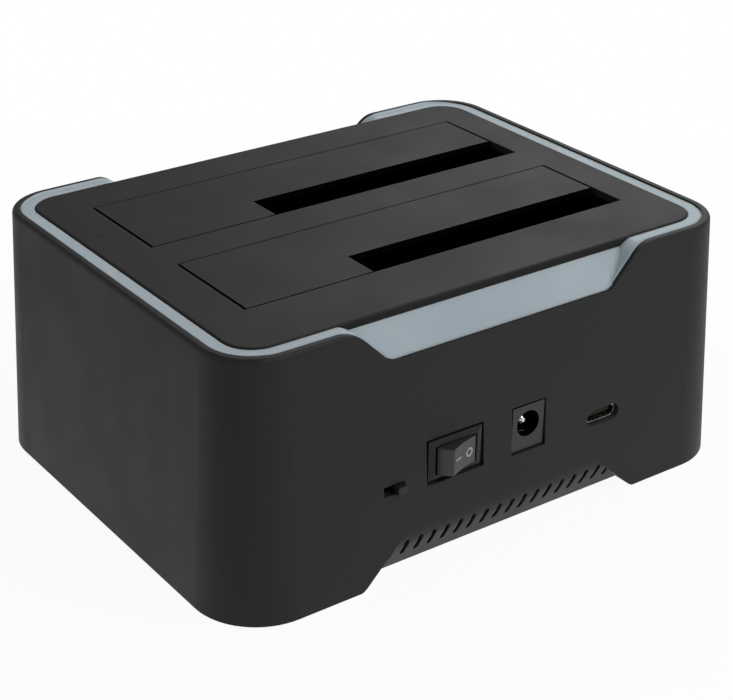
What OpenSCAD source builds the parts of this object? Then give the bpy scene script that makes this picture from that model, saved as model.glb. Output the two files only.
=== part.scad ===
// Two-bay hard drive docking station, in millimetres, standing on the table at Z = 0.
// X runs along the port side, which faces -Y, and the origin is under the middle of the case.

/* [Shell] */
// Length of the shell over its rim
rim_l = 135.4; // [135:0.2:150]
// Width of the shell over its rim
rim_w = 105.2; // [104.6:0.2:120]
// Height from the table to the top of the panel
height = 61; // [60:0.5:75]
// How far each wall leans out from the rim down to the table
flare = 3.3; // [1.7:0.1:4]
// Corner radius of the rim
rim_r = 12.5; // [10:0.5:15]
// Thickness of the shell's walls
wall = 1.9; // [1.6:0.1:2.1]
// Rounding of the rim's outer edge
rim_round = 0.8; // [0.3:0.1:1.2]
// Gap between the shell's foot and the table
foot_gap = 0.5; // [0.3:0.1:0.8]
// Width of the rib that the light ring stands on
ring_rib = 1.6; // [1:0.1:2]

/* [Notches] */
// Width of each side notch at the rim
notch_mouth = 77.6; // [74:0.2:82]
// Width of each side notch at its floor
notch_floor = 60.4; // [56:0.2:64]
// Depth of each side notch below the rim
notch_depth = 8.7; // [7.6:0.1:9.2]
// Rounding of the notch's upper corners
notch_round = 8; // [4:0.5:9]
// Rounding of the notch's lower corners
notch_foot = 2.8; // [2:0.1:4.5]

/* [Arches and vents] */
// Width of the arch under each long side, at the table
arch_mouth = 78; // [74:0.5:82]
// Width of the arch at its crown
arch_crown = 59; // [56:0.5:62]
// Height of the arch's crown above the table
arch_h = 9; // [8:0.1:10]
// Rounding of the arch's lower corners
arch_round = 6; // [2:0.5:8]
// How far the vent wall's foot lies behind the shell's foot
vent_inset = 5.7; // [4.6:0.1:6.4]
// Rounding between the shell's face and the vent wall
vent_round = 8; // [4:0.5:10]
// Thickness of the vent wall
vent_wall = 1.6; // [1.2:0.1:2]
// Number of vent slots in each vent wall
vent_count = 18; // [12:1:18]
// Distance from one vent slot to the next
vent_pitch = 3.67; // [3.2:0.01:3.7]
// How far the row of slots lies to the right of the middle
vent_x = 1; // [0:0.1:1.4]
// Width of a vent slot
vent_w = 1.3; // [1:0.1:1.6]
// Height of the slots' lower ends above the table
vent_low = 4.2; // [3.4:0.1:4.8]
// Height of the slots' upper ends above the table
vent_high = 9.1; // [8:0.1:9.4]

/* [Light ring] */
// Width of the light strip between rim and panel
strip_w = 3.27; // [2.8:0.01:3.6]
// Gap between the light ring and its neighbours
ring_gap = 0.1; // [0.05:0.01:0.2]
// How far the light strip lies below the panel and the rim
ring_set = 0.35; // [0.2:0.05:0.6]
// Height of the light ring's foot below the panel's top
ring_h = 10.8; // [10:0.1:12]
// Width of the ledge under the panel's edge
ring_ledge = 1.5; // [1.2:0.1:2]
// How far the window's lower edge stays behind the shell's face
window_set = 0.35; // [0.2:0.05:0.6]
// Gap between the window and the sides and floor of its notch
window_gap = 0.15; // [0.1:0.05:0.2]
// Diameter of the light pipes that reach down to the board
pipe_d = 3; // [2.4:0.1:3.2]
// Place of the left light pipes along the case
pipe_left = -23; // [-23.4:0.1:-22.6]
// Place of the right light pipes along the case
pipe_right = 18; // [17:0.1:19]
// Distance from the light ring's inner face to the middle of its pipes
pipe_y = 1.4; // [1.2:0.1:1.5]

/* [Top panel] */
// Thickness of the top panel
panel_t = 1.8; // [1.5:0.1:2.2]
// Rounding of the panel's upper edge
panel_round = 0.6; // [0.2:0.1:0.9]
// Diameter of the posts that carry the panel
post_d = 6; // [5:0.1:6.4]
// Distance of the posts from the panel's long edges
post_y = 9.7; // [9:0.1:10.4]

/* [Bays] */
// Length of a bay's mouth, for a 3.5 inch drive
slot_l = 104.2; // [103.6:0.1:104.6]
// Width of a bay's mouth, for a 3.5 inch drive
slot_w = 27.7; // [27.2:0.1:28]
// Left end of the bays from the middle of the case
slot_x = -51.2; // [-51.4:0.1:-51]
// Share of the spare room between DC jack and light ring that lies behind the wells
back_share = 0.2747; // [0.2:0.0001:0.4]
// Gap between the two wells
well_gap = 1.7; // [1:0.1:2]
// Length of the slot left open for a 2.5 inch drive
small_l = 71.4; // [70.6:0.1:72.5]
// Width of the slot left open for a 2.5 inch drive
small_w = 10; // [9.6:0.1:11]
// Thickness of a well's walls
well_wall = 1.5; // [1.2:0.1:1.6]
// Height of a well's floor above the table
well_floor = 28; // [27.6:0.1:28.4]
// Gap between a well's floor and the drive socket in it
mouth_gap = 0.3; // [0.2:0.05:0.5]
// Gap round the flap's tip where it swings through the floor
tip_gap = 1; // [0.6:0.1:1.5]

/* [Flaps] */
// Gap between a flap and the long edges of its bay
flap_gap = 0.35; // [0.25:0.05:0.5]
// Gap between a flap and the ends of its bay
flap_end_gap = 0.7; // [0.4:0.1:0.9]
// Thickness of a flap
flap_t = 1.6; // [1.2:0.1:1.8]
// Diameter of the hinge pins
pin_d = 2; // [1.6:0.1:2.2]
// Running clearance all round a hinge pin
pin_fit = 0.05; // [0.03:0.01:0.09]
// Diameter of the flap's knuckles
knuckle_d = 4.4; // [4:0.1:4.8]
// Length of a knuckle
knuckle_l = 8; // [6:0.5:10]
// Distance from a bay's ends to the outer knuckles
knuckle_in = 6; // [4:0.5:8]
// Distance from a bay's left end to the middle knuckle
knuckle_mid = 48; // [44:0.5:52]
// How far the hinge axis lies behind the bay's far edge
hinge_set = 3.4; // [3.2:0.1:3.5]
// Clearance round the knuckles under the panel and in the well
knuckle_room = 0.4; // [0.3:0.05:0.5]

/* [Flap springs] */
// Distance from a bay's left end to the spring
spring_in = 20; // [16:0.5:30]
// Diameter of the spring wire
wire_d = 0.5; // [0.4:0.05:0.6]
// Gap between the hinge pin and the spring's coil
coil_room = 0.3; // [0.2:0.05:0.4]
// Number of turns in the coil
coil_turns = 4; // [3:1:6]
// Distance from one turn to the next
coil_pitch = 1.05; // [1.05:0.01:1.2]
// Length of the spring's legs
leg_l = 9; // [7:0.5:11]
// Gap between the spring's upper leg and the flap
leg_gap = 0.15; // [0.1:0.05:0.3]

/* [Board] */
// Height of the board's upper face above the table
board_top = 20.4; // [20:0.1:20.8]
// Thickness of the board
board_t = 1.6; // [1:0.1:2]
// Length of the board
board_l = 106; // [104:0.5:106]
// Gap between the board's near edge and the shell
board_gap = 0.5; // [0.3:0.1:0.8]
// Gap between the board's far edge and the shell
board_back = 2; // [1:0.1:3]
// Distance of the board screws from the middle, along the case
stud_x = 46; // [45:0.5:47]
// Distance of the near board screws from the board's near edge
stud_near = 9.4; // [8:0.1:10]
// Distance of the far board screws from the board's far edge
stud_far = 8.9; // [8:0.1:10]
// Diameter of the board's standoffs
stud_d = 6; // [5:0.1:7]

/* [Board parts] */
// Distance from the second bay's near edge to the bridge chip and the memory chip
chip_y = 8.3; // [8:0.1:9]
// Distance from the second bay's near edge to the crystal
crystal_y = 18.3; // [17:0.1:19]
// Distance from each bay's near edge to its regulator
regulator_1_y = 8.7; // [8.4:0.1:9]
regulator_2_y = 12.3; // [12:0.1:13]
// Distance from the board's near edge to the inductors
inductor_y = 19.4; // [19:0.1:20]
// Distance from the board's near edge to the capacitors
capacitor_1_y = 28.4; // [28:0.1:29]
capacitor_2_y = 17.4; // [17:0.1:18]

/* [Base] */
// Thickness of the base plate
base_t = 2; // [1.6:0.1:2.4]
// Height of the base plate's underside above the table
base_low = 0.9; // [0.7:0.1:1]
// Gap between the base plate and the shell
base_gap = 0.4; // [0.3:0.1:0.6]
// Diameter of the rubber feet
pad_d = 10; // [8:0.5:11]
// Depth of the seats that the rubber feet are glued in
pad_seat = 0.4; // [0.3:0.1:0.6]
// Distance of the rubber feet from the middle, along the case
pad_x = 51; // [50:0.5:52]
// Distance of the rubber feet from the base plate's long edges
pad_y = 7.3; // [6.5:0.1:8.5]

/* [Screws] */
// Shank diameter of the case and board screws
screw_d = 2.6; // [2.2:0.1:2.8]
// Head diameter of the case and board screws
screw_head_d = 5; // [4.4:0.1:5.2]
// Head height of the case and board screws
screw_head_h = 0.8; // [0.6:0.05:0.9]
// Thread length of the case and board screws
screw_l = 8; // [7:0.5:10]
// Shank diameter of the well screws
small_screw_d = 2; // [1.6:0.1:2.2]
// Head diameter of the well screws
small_head_d = 3.6; // [3.2:0.1:4]
// Head height of the well screws
small_head_h = 1.2; // [1:0.1:1.4]
// Clearance all round a screw in its hole
screw_fit = 0.15; // [0.1:0.05:0.2]
// Thickness of the wells' lugs
lug_t = 2; // [1.6:0.1:2.4]
// Width of the wells' lugs
lug_w = 6.6; // [6:0.2:7]
// Length of the wells' lugs
lug_l = 5.6; // [5.2:0.1:5.8]
// Distance from a bay's near edge to the first and the second pair of lugs
lug_near = 8; // [7:0.5:9]
lug_far = 18; // [16.5:0.5:20]
// Height of the panel's bosses over the lugs
boss_h = 4; // [3.5:0.1:5]

/* [Drive sockets] */
// Distance from a bay's right end to the middle of its socket
socket_in = 30.8; // [30:0.1:31.5]
// Distance from a bay's near edge to the middle of its socket
socket_y = 4.2; // [4:0.1:4.6]
// Length of the socket's foot
socket_l = 43; // [42:0.5:44]
// Width of the socket's foot
socket_w = 6.4; // [6:0.1:6.8]
// Height of the socket's foot
socket_foot = 5.6; // [5:0.1:5.8]
// Length of the socket's mouth
mouth_l = 38.6; // [38:0.1:39.5]
// Width of the socket's mouth
mouth_w = 4.2; // [4:0.1:4.4]
// Height of the socket above the board
socket_h = 12; // [11.5:0.1:12.5]
// Width of the slots in the socket
blade_slot = 1.5; // [1.3:0.05:1.6]
// Depth of the slots in the socket
blade_depth = 5; // [4.5:0.1:5.5]
// Length of the socket's signal slot
signal_l = 10.6; // [10.4:0.1:11]
// Length of the socket's power slot
power_l = 20.8; // [20.6:0.1:21]
// Number of signal contacts
signal_count = 7; // [5:1:7]
// Number of power contacts
power_count = 15; // [10:1:15]
// Distance from one contact to the next
contact_pitch = 1.27; // [1.2:0.01:1.3]
// Width of a contact
contact_w = 0.7; // [0.5:0.05:0.8]
// Thickness of a contact
contact_t = 0.3; // [0.2:0.05:0.35]

/* [DC jack] */
// Middle of the DC jack from the middle of the case
jack_x = 6.8; // [6.4:0.1:7.2]
// Width of the DC jack
jack_w = 9; // [8.6:0.1:9.2]
// Height of the DC jack
jack_h = 11; // [10.4:0.1:11.4]
// Depth of the DC jack
jack_d = 14; // [13:0.5:14.5]
// Diameter of the jack's bore
jack_bore = 6.3; // [5.8:0.1:6.6]
// Height of the jack's bore above the board
jack_up = 6.3; // [6:0.1:6.6]
// Depth of the jack's bore
jack_deep = 9.6; // [9:0.1:10.5]
// Diameter of the jack's centre pin
jack_pin_d = 2.1; // [1.9:0.1:2.5]
// How far the jack's pin stays behind its mouth
jack_pin_set = 1.6; // [1.2:0.1:2.4]
// Length of the bevel at the end of the jack's pin
jack_pin_tip = 0.6; // [0.4:0.1:0.8]
// Gap between the jack and the shell
jack_gap = 0.35; // [0.2:0.05:0.4]
// How far the jack's spring contact stays behind its mouth
leaf_set = 2; // [1.6:0.1:2.6]
// Width of the jack's spring contact
leaf_w = 1.6; // [1.2:0.1:1.8]
// Thickness of the jack's spring contact
leaf_t = 0.3; // [0.2:0.05:0.4]

/* [USB-C socket] */
// Middle of the USB-C socket from the middle of the case
usb_x = 28.9; // [28.6:0.1:29.2]
// Width of the USB-C socket's shell
usb_w = 8.94; // [8.8:0.02:9.1]
// Height of the USB-C socket's shell
usb_h = 3.26; // [3.1:0.02:3.4]
// Depth of the USB-C socket's shell
usb_d = 7; // [6.8:0.1:7.2]
// Thickness of the USB-C socket's shell
usb_wall = 0.3; // [0.2:0.05:0.4]
// How far the USB-C socket stays behind the shell's face
usb_set = 1; // [0.6:0.1:1.2]
// Gap between the USB-C socket and the shell
usb_gap = 0.3; // [0.2:0.05:0.4]
// Width of the USB-C tongue
tongue_w = 6.7; // [6.4:0.1:6.8]
// Thickness of the USB-C tongue
tongue_t = 0.7; // [0.6:0.05:0.8]
// How far the USB-C tongue stays behind its mouth
tongue_set = 0.8; // [0.6:0.1:1.2]
// Thickness of the insulator at the back of the USB-C socket
usb_back = 2; // [1.5:0.1:2.4]
// Number of USB-C contacts on each face of the tongue
usb_count = 12; // [8:1:12]
// Distance from one USB-C contact to the next
usb_pitch = 0.5; // [0.45:0.01:0.52]
// Width of a USB-C contact
usb_contact_w = 0.25; // [0.2:0.01:0.3]
// Thickness of a USB-C contact
usb_contact_t = 0.1; // [0.08:0.01:0.12]
// Length of a USB-C contact
usb_contact_l = 3; // [2.5:0.1:3.2]

/* [Slide switch] */
// Middle of the slide switch from the middle of the case
slide_x = -30.1; // [-30.4:0.1:-29.8]
// Length of the slot for the knob
slide_slot_l = 5.4; // [5.2:0.1:5.6]
// Height of the slot for the knob
slide_slot_h = 2.4; // [2.2:0.1:2.6]
// Length of the slide switch's case
slide_l = 8.6; // [8:0.1:9]
// Depth of the slide switch's case
slide_d = 3.8; // [3.6:0.1:4.2]
// Height of the slide switch's case
slide_h = 4.6; // [4.4:0.1:4.8]
// Length of the knob
knob_l = 2.2; // [2:0.1:2.4]
// Travel of the knob
knob_travel = 2.8; // [2.4:0.1:2.8]
// Clearance between the knob and its slots
knob_gap = 0.15; // [0.1:0.05:0.2]
// Room that the slot leaves above the knob
knob_room = 0.4; // [0.2:0.1:0.5]
// How far the knob stands out of the shell
knob_proud = 1.2; // [0.6:0.1:1.4]
// How far the knob reaches into its case
knob_root = 1.4; // [1.2:0.1:1.6]

/* [Power switch] */
// Middle of the power switch from the middle of the case
switch_x = -13.7; // [-14:0.1:-13.4]
// Middle of the power switch above the table
switch_z = 25.9; // [25.7:0.1:26.4]
// Length of the switch's flange
flange_l = 14.4; // [14.2:0.1:14.8]
// Height of the switch's flange
flange_h = 9.7; // [9.5:0.1:10]
// Thickness of the switch's flange at its outer edge
flange_t = 0.8; // [0.6:0.05:0.9]
// Depth of the pocket that the flange sits in
flange_seat = 1; // [0.9:0.05:1.1]
// Gap round the flange in its pocket
flange_gap = 0.55; // [0.4:0.05:0.6]
// How far the flange rises from its outer edge to the rocker's well
bezel_rise = 0.45; // [0.3:0.05:0.9]
// Width of the flat round the rocker's well
bezel_land = 0.4; // [0.3:0.05:0.5]
// Length of the switch's case
case_l = 13.2; // [13:0.1:13.4]
// Height of the switch's case
case_h = 8.6; // [8.4:0.1:8.8]
// Depth of the switch's case behind the flange
case_d = 10.4; // [9.5:0.1:11]
// Gap between the switch's case and the shell
case_gap = 0.2; // [0.1:0.05:0.3]
// Length of the well that the rocker moves in
rocker_well_l = 11.2; // [11.1:0.05:11.5]
// Depth of the well that the rocker moves in
rocker_well_d = 4.2; // [4:0.1:4.6]
// Length of the rocker's face
rocker_l = 8; // [7.4:0.1:8.4]
// Radius of the rocker's ends round its pivot
rocker_r = 5.45; // [5.2:0.05:5.45]
// Height of the rocker
rocker_h = 6.4; // [6.2:0.1:6.6]
// Gap above and below the rocker
rocker_gap = 0.25; // [0.15:0.05:0.3]
// How far the rocker tips to each side, in degrees
rocker_tilt = 18; // [12:0.5:18]
// How far the pivot lies behind the flat round the rocker's well
pivot_set = 1.99; // [1.95:0.01:2.1]
// Radius of the rocker's hollow face
rocker_face_r = 30; // [20:1:60]
// Diameter of the rocker's hub
hub_d = 3; // [2.6:0.1:3.4]
// Diameter of the rocker's pivots
pivot_d = 1.6; // [1.2:0.1:1.8]
// Running clearance round the rocker's pivots
pivot_fit = 0.05; // [0.03:0.01:0.08]
// Distance between the switch's terminals
terminal_gap = 7; // [6.4:0.1:7.6]
// Width of a terminal
terminal_w = 3.2; // [2.8:0.1:3.6]
// Thickness of a terminal
terminal_t = 0.8; // [0.6:0.1:1]
// Length of a terminal
terminal_l = 5; // [4.5:0.1:5.2]
// How far the terminals lie below the middle of the switch
terminal_drop = 1; // [0.8:0.1:1.4]
// Diameter of the power leads
lead_d = 1.6; // [1.2:0.1:1.8]
// Bend radius of the power leads
lead_bend = 2.5; // [2:0.1:3]

/* [Hidden] */
$fn = 96;
// Overlap that lets a cut pass through a face
eps = 0.01;
// Distance by which a cutter passes the outside
past = 6;

// Height of the panel's underside and of the light ring's foot
panel_low = height - panel_t;
ring_low = height - ring_h;
// Inside of the rim and outline of the panel
inner_l = rim_l - 2 * wall;
inner_w = rim_w - 2 * wall;
inner_r = rim_r - wall;
panel_l = inner_l - 2 * strip_w;
panel_w = inner_w - 2 * strip_w;
panel_r = inner_r - strip_w;
// Right end of the bays, and places of the case screws
slot_end = slot_x + slot_l;
post_x = panel_l / 2 - ring_ledge - post_d / 2 - knuckle_room;
post_at = panel_w / 2 - post_y;
// Half width inside the light ring, and places of its pipes
ring_in = panel_w / 2 - ring_ledge;
pipe_at = ring_in + pipe_y;
// Hinge axis of a flap, measured from the near edge of its bay
hinge_y = slot_w + hinge_set;
hinge_z = panel_low - knuckle_d / 2 - knuckle_room;
well_far = hinge_y + knuckle_d / 2 + knuckle_room;
// Pitch of the bays, and near edge of the first one
bay_pitch = well_far + 2 * well_wall + well_gap;
wells_w = bay_pitch + well_far + 2 * well_wall;
jack_face = -(rim_w / 2 + lean(board_top + jack_h));
spare = ring_in - jack_face - jack_d - wells_w;
slot_1_y = ring_in - back_share * spare - wells_w + well_wall;
lug_top = panel_low - boss_h;
boss_d = small_screw_d + 3;
base_top = base_low + base_t;
board_low = board_top - board_t;
board_near = -(rim_w / 2 + lean(board_top) - wall - board_gap);
board_far = rim_w / 2 + lean(board_top) - wall - board_back;
base_l = inner_l + 2 * lean(base_top) - 2 * base_gap;
base_w = inner_w + 2 * lean(base_top) - 2 * base_gap;
socket_x = slot_end - socket_in;
jack_z = board_top + jack_up;
usb_z = board_top + usb_h / 2;
usb_face = -(rim_w / 2 + lean(usb_z)) + usb_set;
slide_z = board_top + slide_h / 2;
slide_face = -(rim_w / 2 + lean(slide_z));
slide_front = slide_face + wall + board_gap;
knob_h = slide_slot_h - 2 * knob_gap - knob_room;
knob_z = slide_z - knob_room / 2;
flange_back = -(rim_w / 2 + lean(switch_z)) + flange_seat;
flange_edge = flange_back - flange_t;
flange_face = flange_edge - bezel_rise;
pocket_h = rocker_h + 2 * rocker_gap;
case_back = flange_back + case_d;
pivot_y = flange_face + pivot_set;
lead_y = case_back + terminal_l;
// Parts on the board: middle of each, from the near edge of a bay or of the board, then its size
led_size = [3.5, 2.8, 1.9];
chip_at = [-22, bay_y(1) + chip_y];
chip_size = [9, 9, 0.9];
memory_at = [-36, bay_y(1) + chip_y];
memory_size = [5, 4, 1.5];
crystal_at = [-22, bay_y(1) + crystal_y];
crystal_size = [3.2, 2.5, 0.8];
regulator_at = [[-10, bay_y(0) + regulator_1_y], [-6, bay_y(1) + regulator_2_y]];
regulator_size = [6.5, 6, 2.2];
inductor_at = [[-40, board_near + inductor_y], [-30, board_near + inductor_y]];
inductor_size = [7, 7, 4];
capacitor_at = [[-46, board_near + capacitor_1_y], [-4, board_near + capacitor_2_y]];
capacitor_d = 4.4;
capacitor_h = 5.4;
mould_gap = 0.05;
// Flats that make the rounding over the vents
roll_steps = 4;
// Flats that make each rounding of the notches and arches
bend_steps = 8;
// Sides of the spring wire, and rings on each turn of its coil
wire_sides = 6;
turn_rings = 8;
spring_x = slot_x + spring_in;
coil_r = pin_d / 2 + coil_room + wire_d / 2;

// How far the walls stand outside the rim at a height
function lean(z) = flare * (height - z) / height;
// Near edge of a bay, counted from 0
function bay_y(bay) = slot_1_y + bay * bay_pitch;

// Rectangle with round corners
module rounded_rect(l, w, r) {
    square([l - 2 * r, w], center = true);
    square([l, w - 2 * r], center = true);
    for (sx = [-1, 1], sy = [-1, 1])
        translate([sx * (l / 2 - r), sy * (w / 2 - r)]) circle(r);
}

// Upright plate with round corners, from one height to another
module plate(l, w, r, low, high) {
    translate([0, 0, low]) linear_extrude(high - low) rounded_rect(l, w, r);
}

// Outline across X, drawn as Y and Z and run along X
module along_x(l) {
    rotate([90, 0, 90]) translate([0, 0, -l / 2]) linear_extrude(l) children();
}

// Outline across Y, drawn as X and Z and run from one Y to another
module along_y(from, to) {
    translate([0, to, 0]) rotate([90, 0, 0]) linear_extrude(to - from) children();
}

// Case-shaped block whose walls lean out towards the table, with its rim sizes given
module leaning_block(l, w, r, low, high) {
    for (sx = [-1, 1], sy = [-1, 1])
        translate([sx * (l / 2 - r), sy * (w / 2 - r), low])
            cylinder(h = high - low, r1 = r + lean(low), r2 = r + lean(high));
    along_x(l - 2 * r) leaning_section(w, low, high);
    rotate([0, 0, 90]) along_x(w - 2 * r) leaning_section(l, low, high);
}

// Section of the leaning block
module leaning_section(w, low, high) {
    foot = w / 2 + lean(low);
    top = w / 2 + lean(high);
    polygon([[-foot, low], [foot, low], [top, high], [-top, high]]);
}

// Cutter that rounds the upper edge of a block with round corners
module edge_cutter(l, w, r, high, round) {
    for (turn = [0, 180]) rotate([0, 0, turn]) {
        translate([l / 2, w / 2 - r, high]) rotate([90, 0, 0])
            linear_extrude(w - 2 * r) edge_section(round);
        rotate([0, 0, 90]) translate([w / 2, l / 2 - r, high]) rotate([90, 0, 0])
            linear_extrude(l - 2 * r) edge_section(round);
        for (quarter = [[1, 1, 0], [-1, 1, 90]])
            translate([quarter[0] * (l / 2 - r), quarter[1] * (w / 2 - r), high])
                rotate([0, 0, quarter[2]]) rotate_extrude(angle = 90)
                    translate([r, 0]) edge_section(round);
    }
}

// Section of that cutter, with the block's edge at the origin
module edge_section(round) {
    difference() {
        translate([-round, -round]) square(2 * round);
        translate([-round, -round]) circle(round);
    }
}

// Opening with sloped sides, drawn downwards from its mouth at the origin: the corners of its mouth,
// and those of its floor where a foot radius is given, are rounded by a few flats
module sloped_opening(mouth, deep_w, deep, round, foot = 0) {
    slope = atan2(deep, (mouth - deep_w) / 2);
    out = round * tan(slope / 2);
    in = foot * tan(slope / 2);
    turns = [for (i = [0 : bend_steps]) slope * i / bend_steps];
    floor_corner = foot > 0
        ? [for (a = turns) [deep_w / 2 - in + foot * sin(a), foot - deep - foot * cos(a)]]
        : [[deep_w / 2, -deep]];
    mouth_corner = [for (a = turns) [mouth / 2 + out - round * sin(slope - a), round * cos(slope - a) - round]];
    half = concat(floor_corner, mouth_corner, [[mouth / 2 + out, past]]);
    polygon(concat(half, [for (i = [len(half) - 1 : -1 : 0]) [-half[i][0], half[i][1]]]));
}

// Outline of a side notch, as X and Z
module notch_outline() {
    translate([0, height]) sloped_opening(notch_mouth, notch_floor, notch_depth, notch_round, notch_foot);
}

// Outline of an arch, as X and Z, grown by a margin, with room above its crown for the rounding
module arch_outline(grow = 0) {
    room = vent_round / 2 + grow;
    in = room * (arch_mouth - arch_crown) / 2 / arch_h;
    mirror([0, 1])
        sloped_opening(arch_mouth + 2 * grow, arch_crown + 2 * (grow - in), arch_h + room, arch_round);
}

// Space outside the vent wall on the near side, moved inwards by a margin
module vent_outside(grow = 0) {
    crown = [-(rim_w / 2 + lean(arch_h)) + grow, arch_h];
    foot = [-(rim_w / 2 + lean(0) - vent_inset) + grow, 0];
    up = [flare / height, 1] / norm([flare / height, 1]);
    down = (foot - crown) / norm(foot - crown);
    half = acos(up * down) / 2;
    middle = crown + (up + down) / norm(up + down) * vent_round / sin(half);
    from = crown + up * vent_round / tan(half) - middle;
    start = atan2(from[1], from[0]);
    turn = 180 - 2 * half;
    low = foot + down * past;
    out = crown[0] - past - vent_inset;
    along_x(rim_l)
        polygon(concat(
            [[out, low[1]], low],
            [for (i = [roll_steps : -1 : 0]) middle + vent_round
                * [cos(start + turn * i / roll_steps), sin(start + turn * i / roll_steps)]],
            [[out, crown[1] + past]]
        ));
}

// Space outside the window's slope on the near side
module window_outside() {
    top = -panel_w / 2;
    foot = -(rim_w / 2 + lean(height - notch_depth) - window_set);
    slant = (foot - top) / (panel_low - height + notch_depth + eps);
    low = panel_low + (foot - past - top) / slant * -1;
    high = height + 2 * past;
    along_x(rim_l) polygon([[top, high], [top, panel_low], [foot - past, low], [foot - past, high]]);
}

// Both long sides, with what is drawn on the near one
module both_sides() {
    children();
    rotate([0, 0, 180]) children();
}

// Hole or slot with round ends, as X and Z
module stadium(l, h) {
    square([l - h, h], center = true);
    for (side = [-1, 1]) translate([side * (l - h) / 2, 0]) circle(h / 2);
}

// Screw with its head's underside at the origin and its thread along -Z
module screw(d, l, head_d, head_h) {
    translate([0, 0, -l]) cylinder(h = l, d = d);
    difference() {
        cylinder(h = head_h, d = head_d);
        for (turn = [0, 90]) rotate([0, 0, turn])
            translate([-head_d * 0.3, -head_d * 0.06, head_h * 0.45])
                cube([head_d * 0.6, head_d * 0.12, head_h]);
    }
}

// Places of the four posts
module at_posts() {
    for (sx = [-1, 1], sy = [-1, 1]) translate([sx * post_x, sy * post_at]) children();
}

// Places of the four board screws
module at_studs() {
    for (sx = [-1, 1], y = [board_near + stud_near, board_far - stud_far])
        translate([sx * stud_x, y]) children();
}

// Places of a well's four lugs
module at_lugs(bay) {
    for (y = [lug_near, lug_far]) {
        translate([slot_x - well_wall - lug_l / 2, bay_y(bay) + y]) children();
        translate([slot_end + well_wall + lug_l / 2, bay_y(bay) + y]) children();
    }
}

module outer_shell() {
    color([0.13, 0.13, 0.13]) difference() {
        union() {
            difference() {
                leaning_block(rim_l, rim_w, rim_r, foot_gap, height);
                leaning_block(inner_l, inner_w, inner_r, foot_gap - past, height + past);
            }
            ring_seat();
            base_seats();
            both_sides() intersection() {
                leaning_block(rim_l, rim_w, rim_r, foot_gap, height);
                along_y(-rim_w, 0) arch_outline(vent_wall);
                vent_outside(vent_wall);
            }
        }
        both_sides() {
            along_y(-rim_w, -inner_w / 2 + ring_rib) notch_outline();
            intersection() {
                along_y(-rim_w, 0) arch_outline();
                vent_outside();
            }
            vent_slots();
        }
        edge_cutter(rim_l, rim_w, rim_r, height, rim_round);
        port_holes();
    }
}

// Rib inside the shell that the light ring stands on
module ring_seat() {
    intersection() {
        leaning_block(rim_l, rim_w, rim_r, foot_gap, height);
        difference() {
            translate([0, 0, ring_low - ring_rib])
                linear_extrude(ring_rib) square([rim_l + 2 * flare, rim_w + 2 * flare], center = true);
            plate(inner_l - 2 * ring_rib, inner_w - 2 * ring_rib, inner_r - ring_rib,
                ring_low - 2 * ring_rib, ring_low + ring_rib);
        }
    }
}

// Ribs at both ends that stand on the base plate
module base_seats() {
    both_sides() intersection() {
        leaning_block(rim_l, rim_w, rim_r, foot_gap, height);
        translate([-rim_l, -post_at + post_d, base_top])
            cube([rim_l / 2 + wall, 2 * (post_at - post_d), ring_rib]);
    }
}

// Row of vent slots in the near vent wall
module vent_slots() {
    along_y(-rim_w, -rim_w / 2 + vent_inset) intersection() {
        arch_outline();
        for (i = [0 : vent_count - 1])
            translate([vent_x + (i - (vent_count - 1) / 2) * vent_pitch, (vent_low + vent_high) / 2])
                rotate(90) stadium(vent_high - vent_low, vent_w);
    }
}

// Cuts for the switches and sockets in the port side
module port_holes() {
    translate([switch_x, 0, switch_z]) {
        along_y(-rim_w, flange_back)
            square([flange_l + 2 * flange_gap, flange_h + 2 * flange_gap], center = true);
        along_y(-rim_w, -rim_w / 4)
            square([case_l + 2 * case_gap, case_h + 2 * case_gap], center = true);
    }
    translate([jack_x, 0, board_top + jack_h / 2]) along_y(-rim_w, -rim_w / 4)
        square([jack_w + 2 * jack_gap, jack_h + 2 * jack_gap], center = true);
    translate([usb_x, 0, usb_z]) along_y(-rim_w, -rim_w / 4)
        stadium(usb_w + 2 * usb_gap, usb_h + 2 * usb_gap);
    translate([slide_x, 0, slide_z]) along_y(-rim_w, -rim_w / 4)
        square([slide_slot_l, slide_slot_h], center = true);
}

module light_ring() {
    color([0.66, 0.74, 0.8]) {
        difference() {
            union() {
                plate(inner_l - 2 * ring_gap, inner_w - 2 * ring_gap, inner_r - ring_gap,
                    ring_low, height - ring_set);
                both_sides() window_lip();
            }
            plate(panel_l - 2 * ring_ledge, panel_w - 2 * ring_ledge, panel_r - ring_ledge,
                ring_low - past, height + past);
            plate(panel_l + 2 * ring_gap, panel_w + 2 * ring_gap, panel_r + ring_gap,
                panel_low, height + past);
            both_sides() intersection() {
                along_y(-rim_w, -panel_w / 2 + ring_gap) notch_outline();
                window_outside();
            }
        }
        at_pipes() light_pipe();
    }
}

// Foot of the window, which fills the notch through the shell's wall
module window_lip() {
    foot = rim_w / 2 + lean(height - notch_depth) - window_set;
    intersection() {
        translate([0, 0, window_gap]) along_y(-foot, -inner_w / 2 + 2 * ring_gap) notch_outline();
        translate([-rim_l / 2, -rim_w, ring_low]) cube([rim_l, rim_w, panel_low - ring_low]);
    }
}

// Places of the four light pipes
module at_pipes() {
    for (x = [pipe_left, pipe_right], side = [-1, 1]) translate([x, side * pipe_at]) children();
}

// Light pipe from the ring down to its lamp on the board
module light_pipe() {
    low = board_top + led_size[2] + ring_gap;
    translate([0, 0, low]) cylinder(h = ring_low + ring_ledge - low, d = pipe_d);
}

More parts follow.
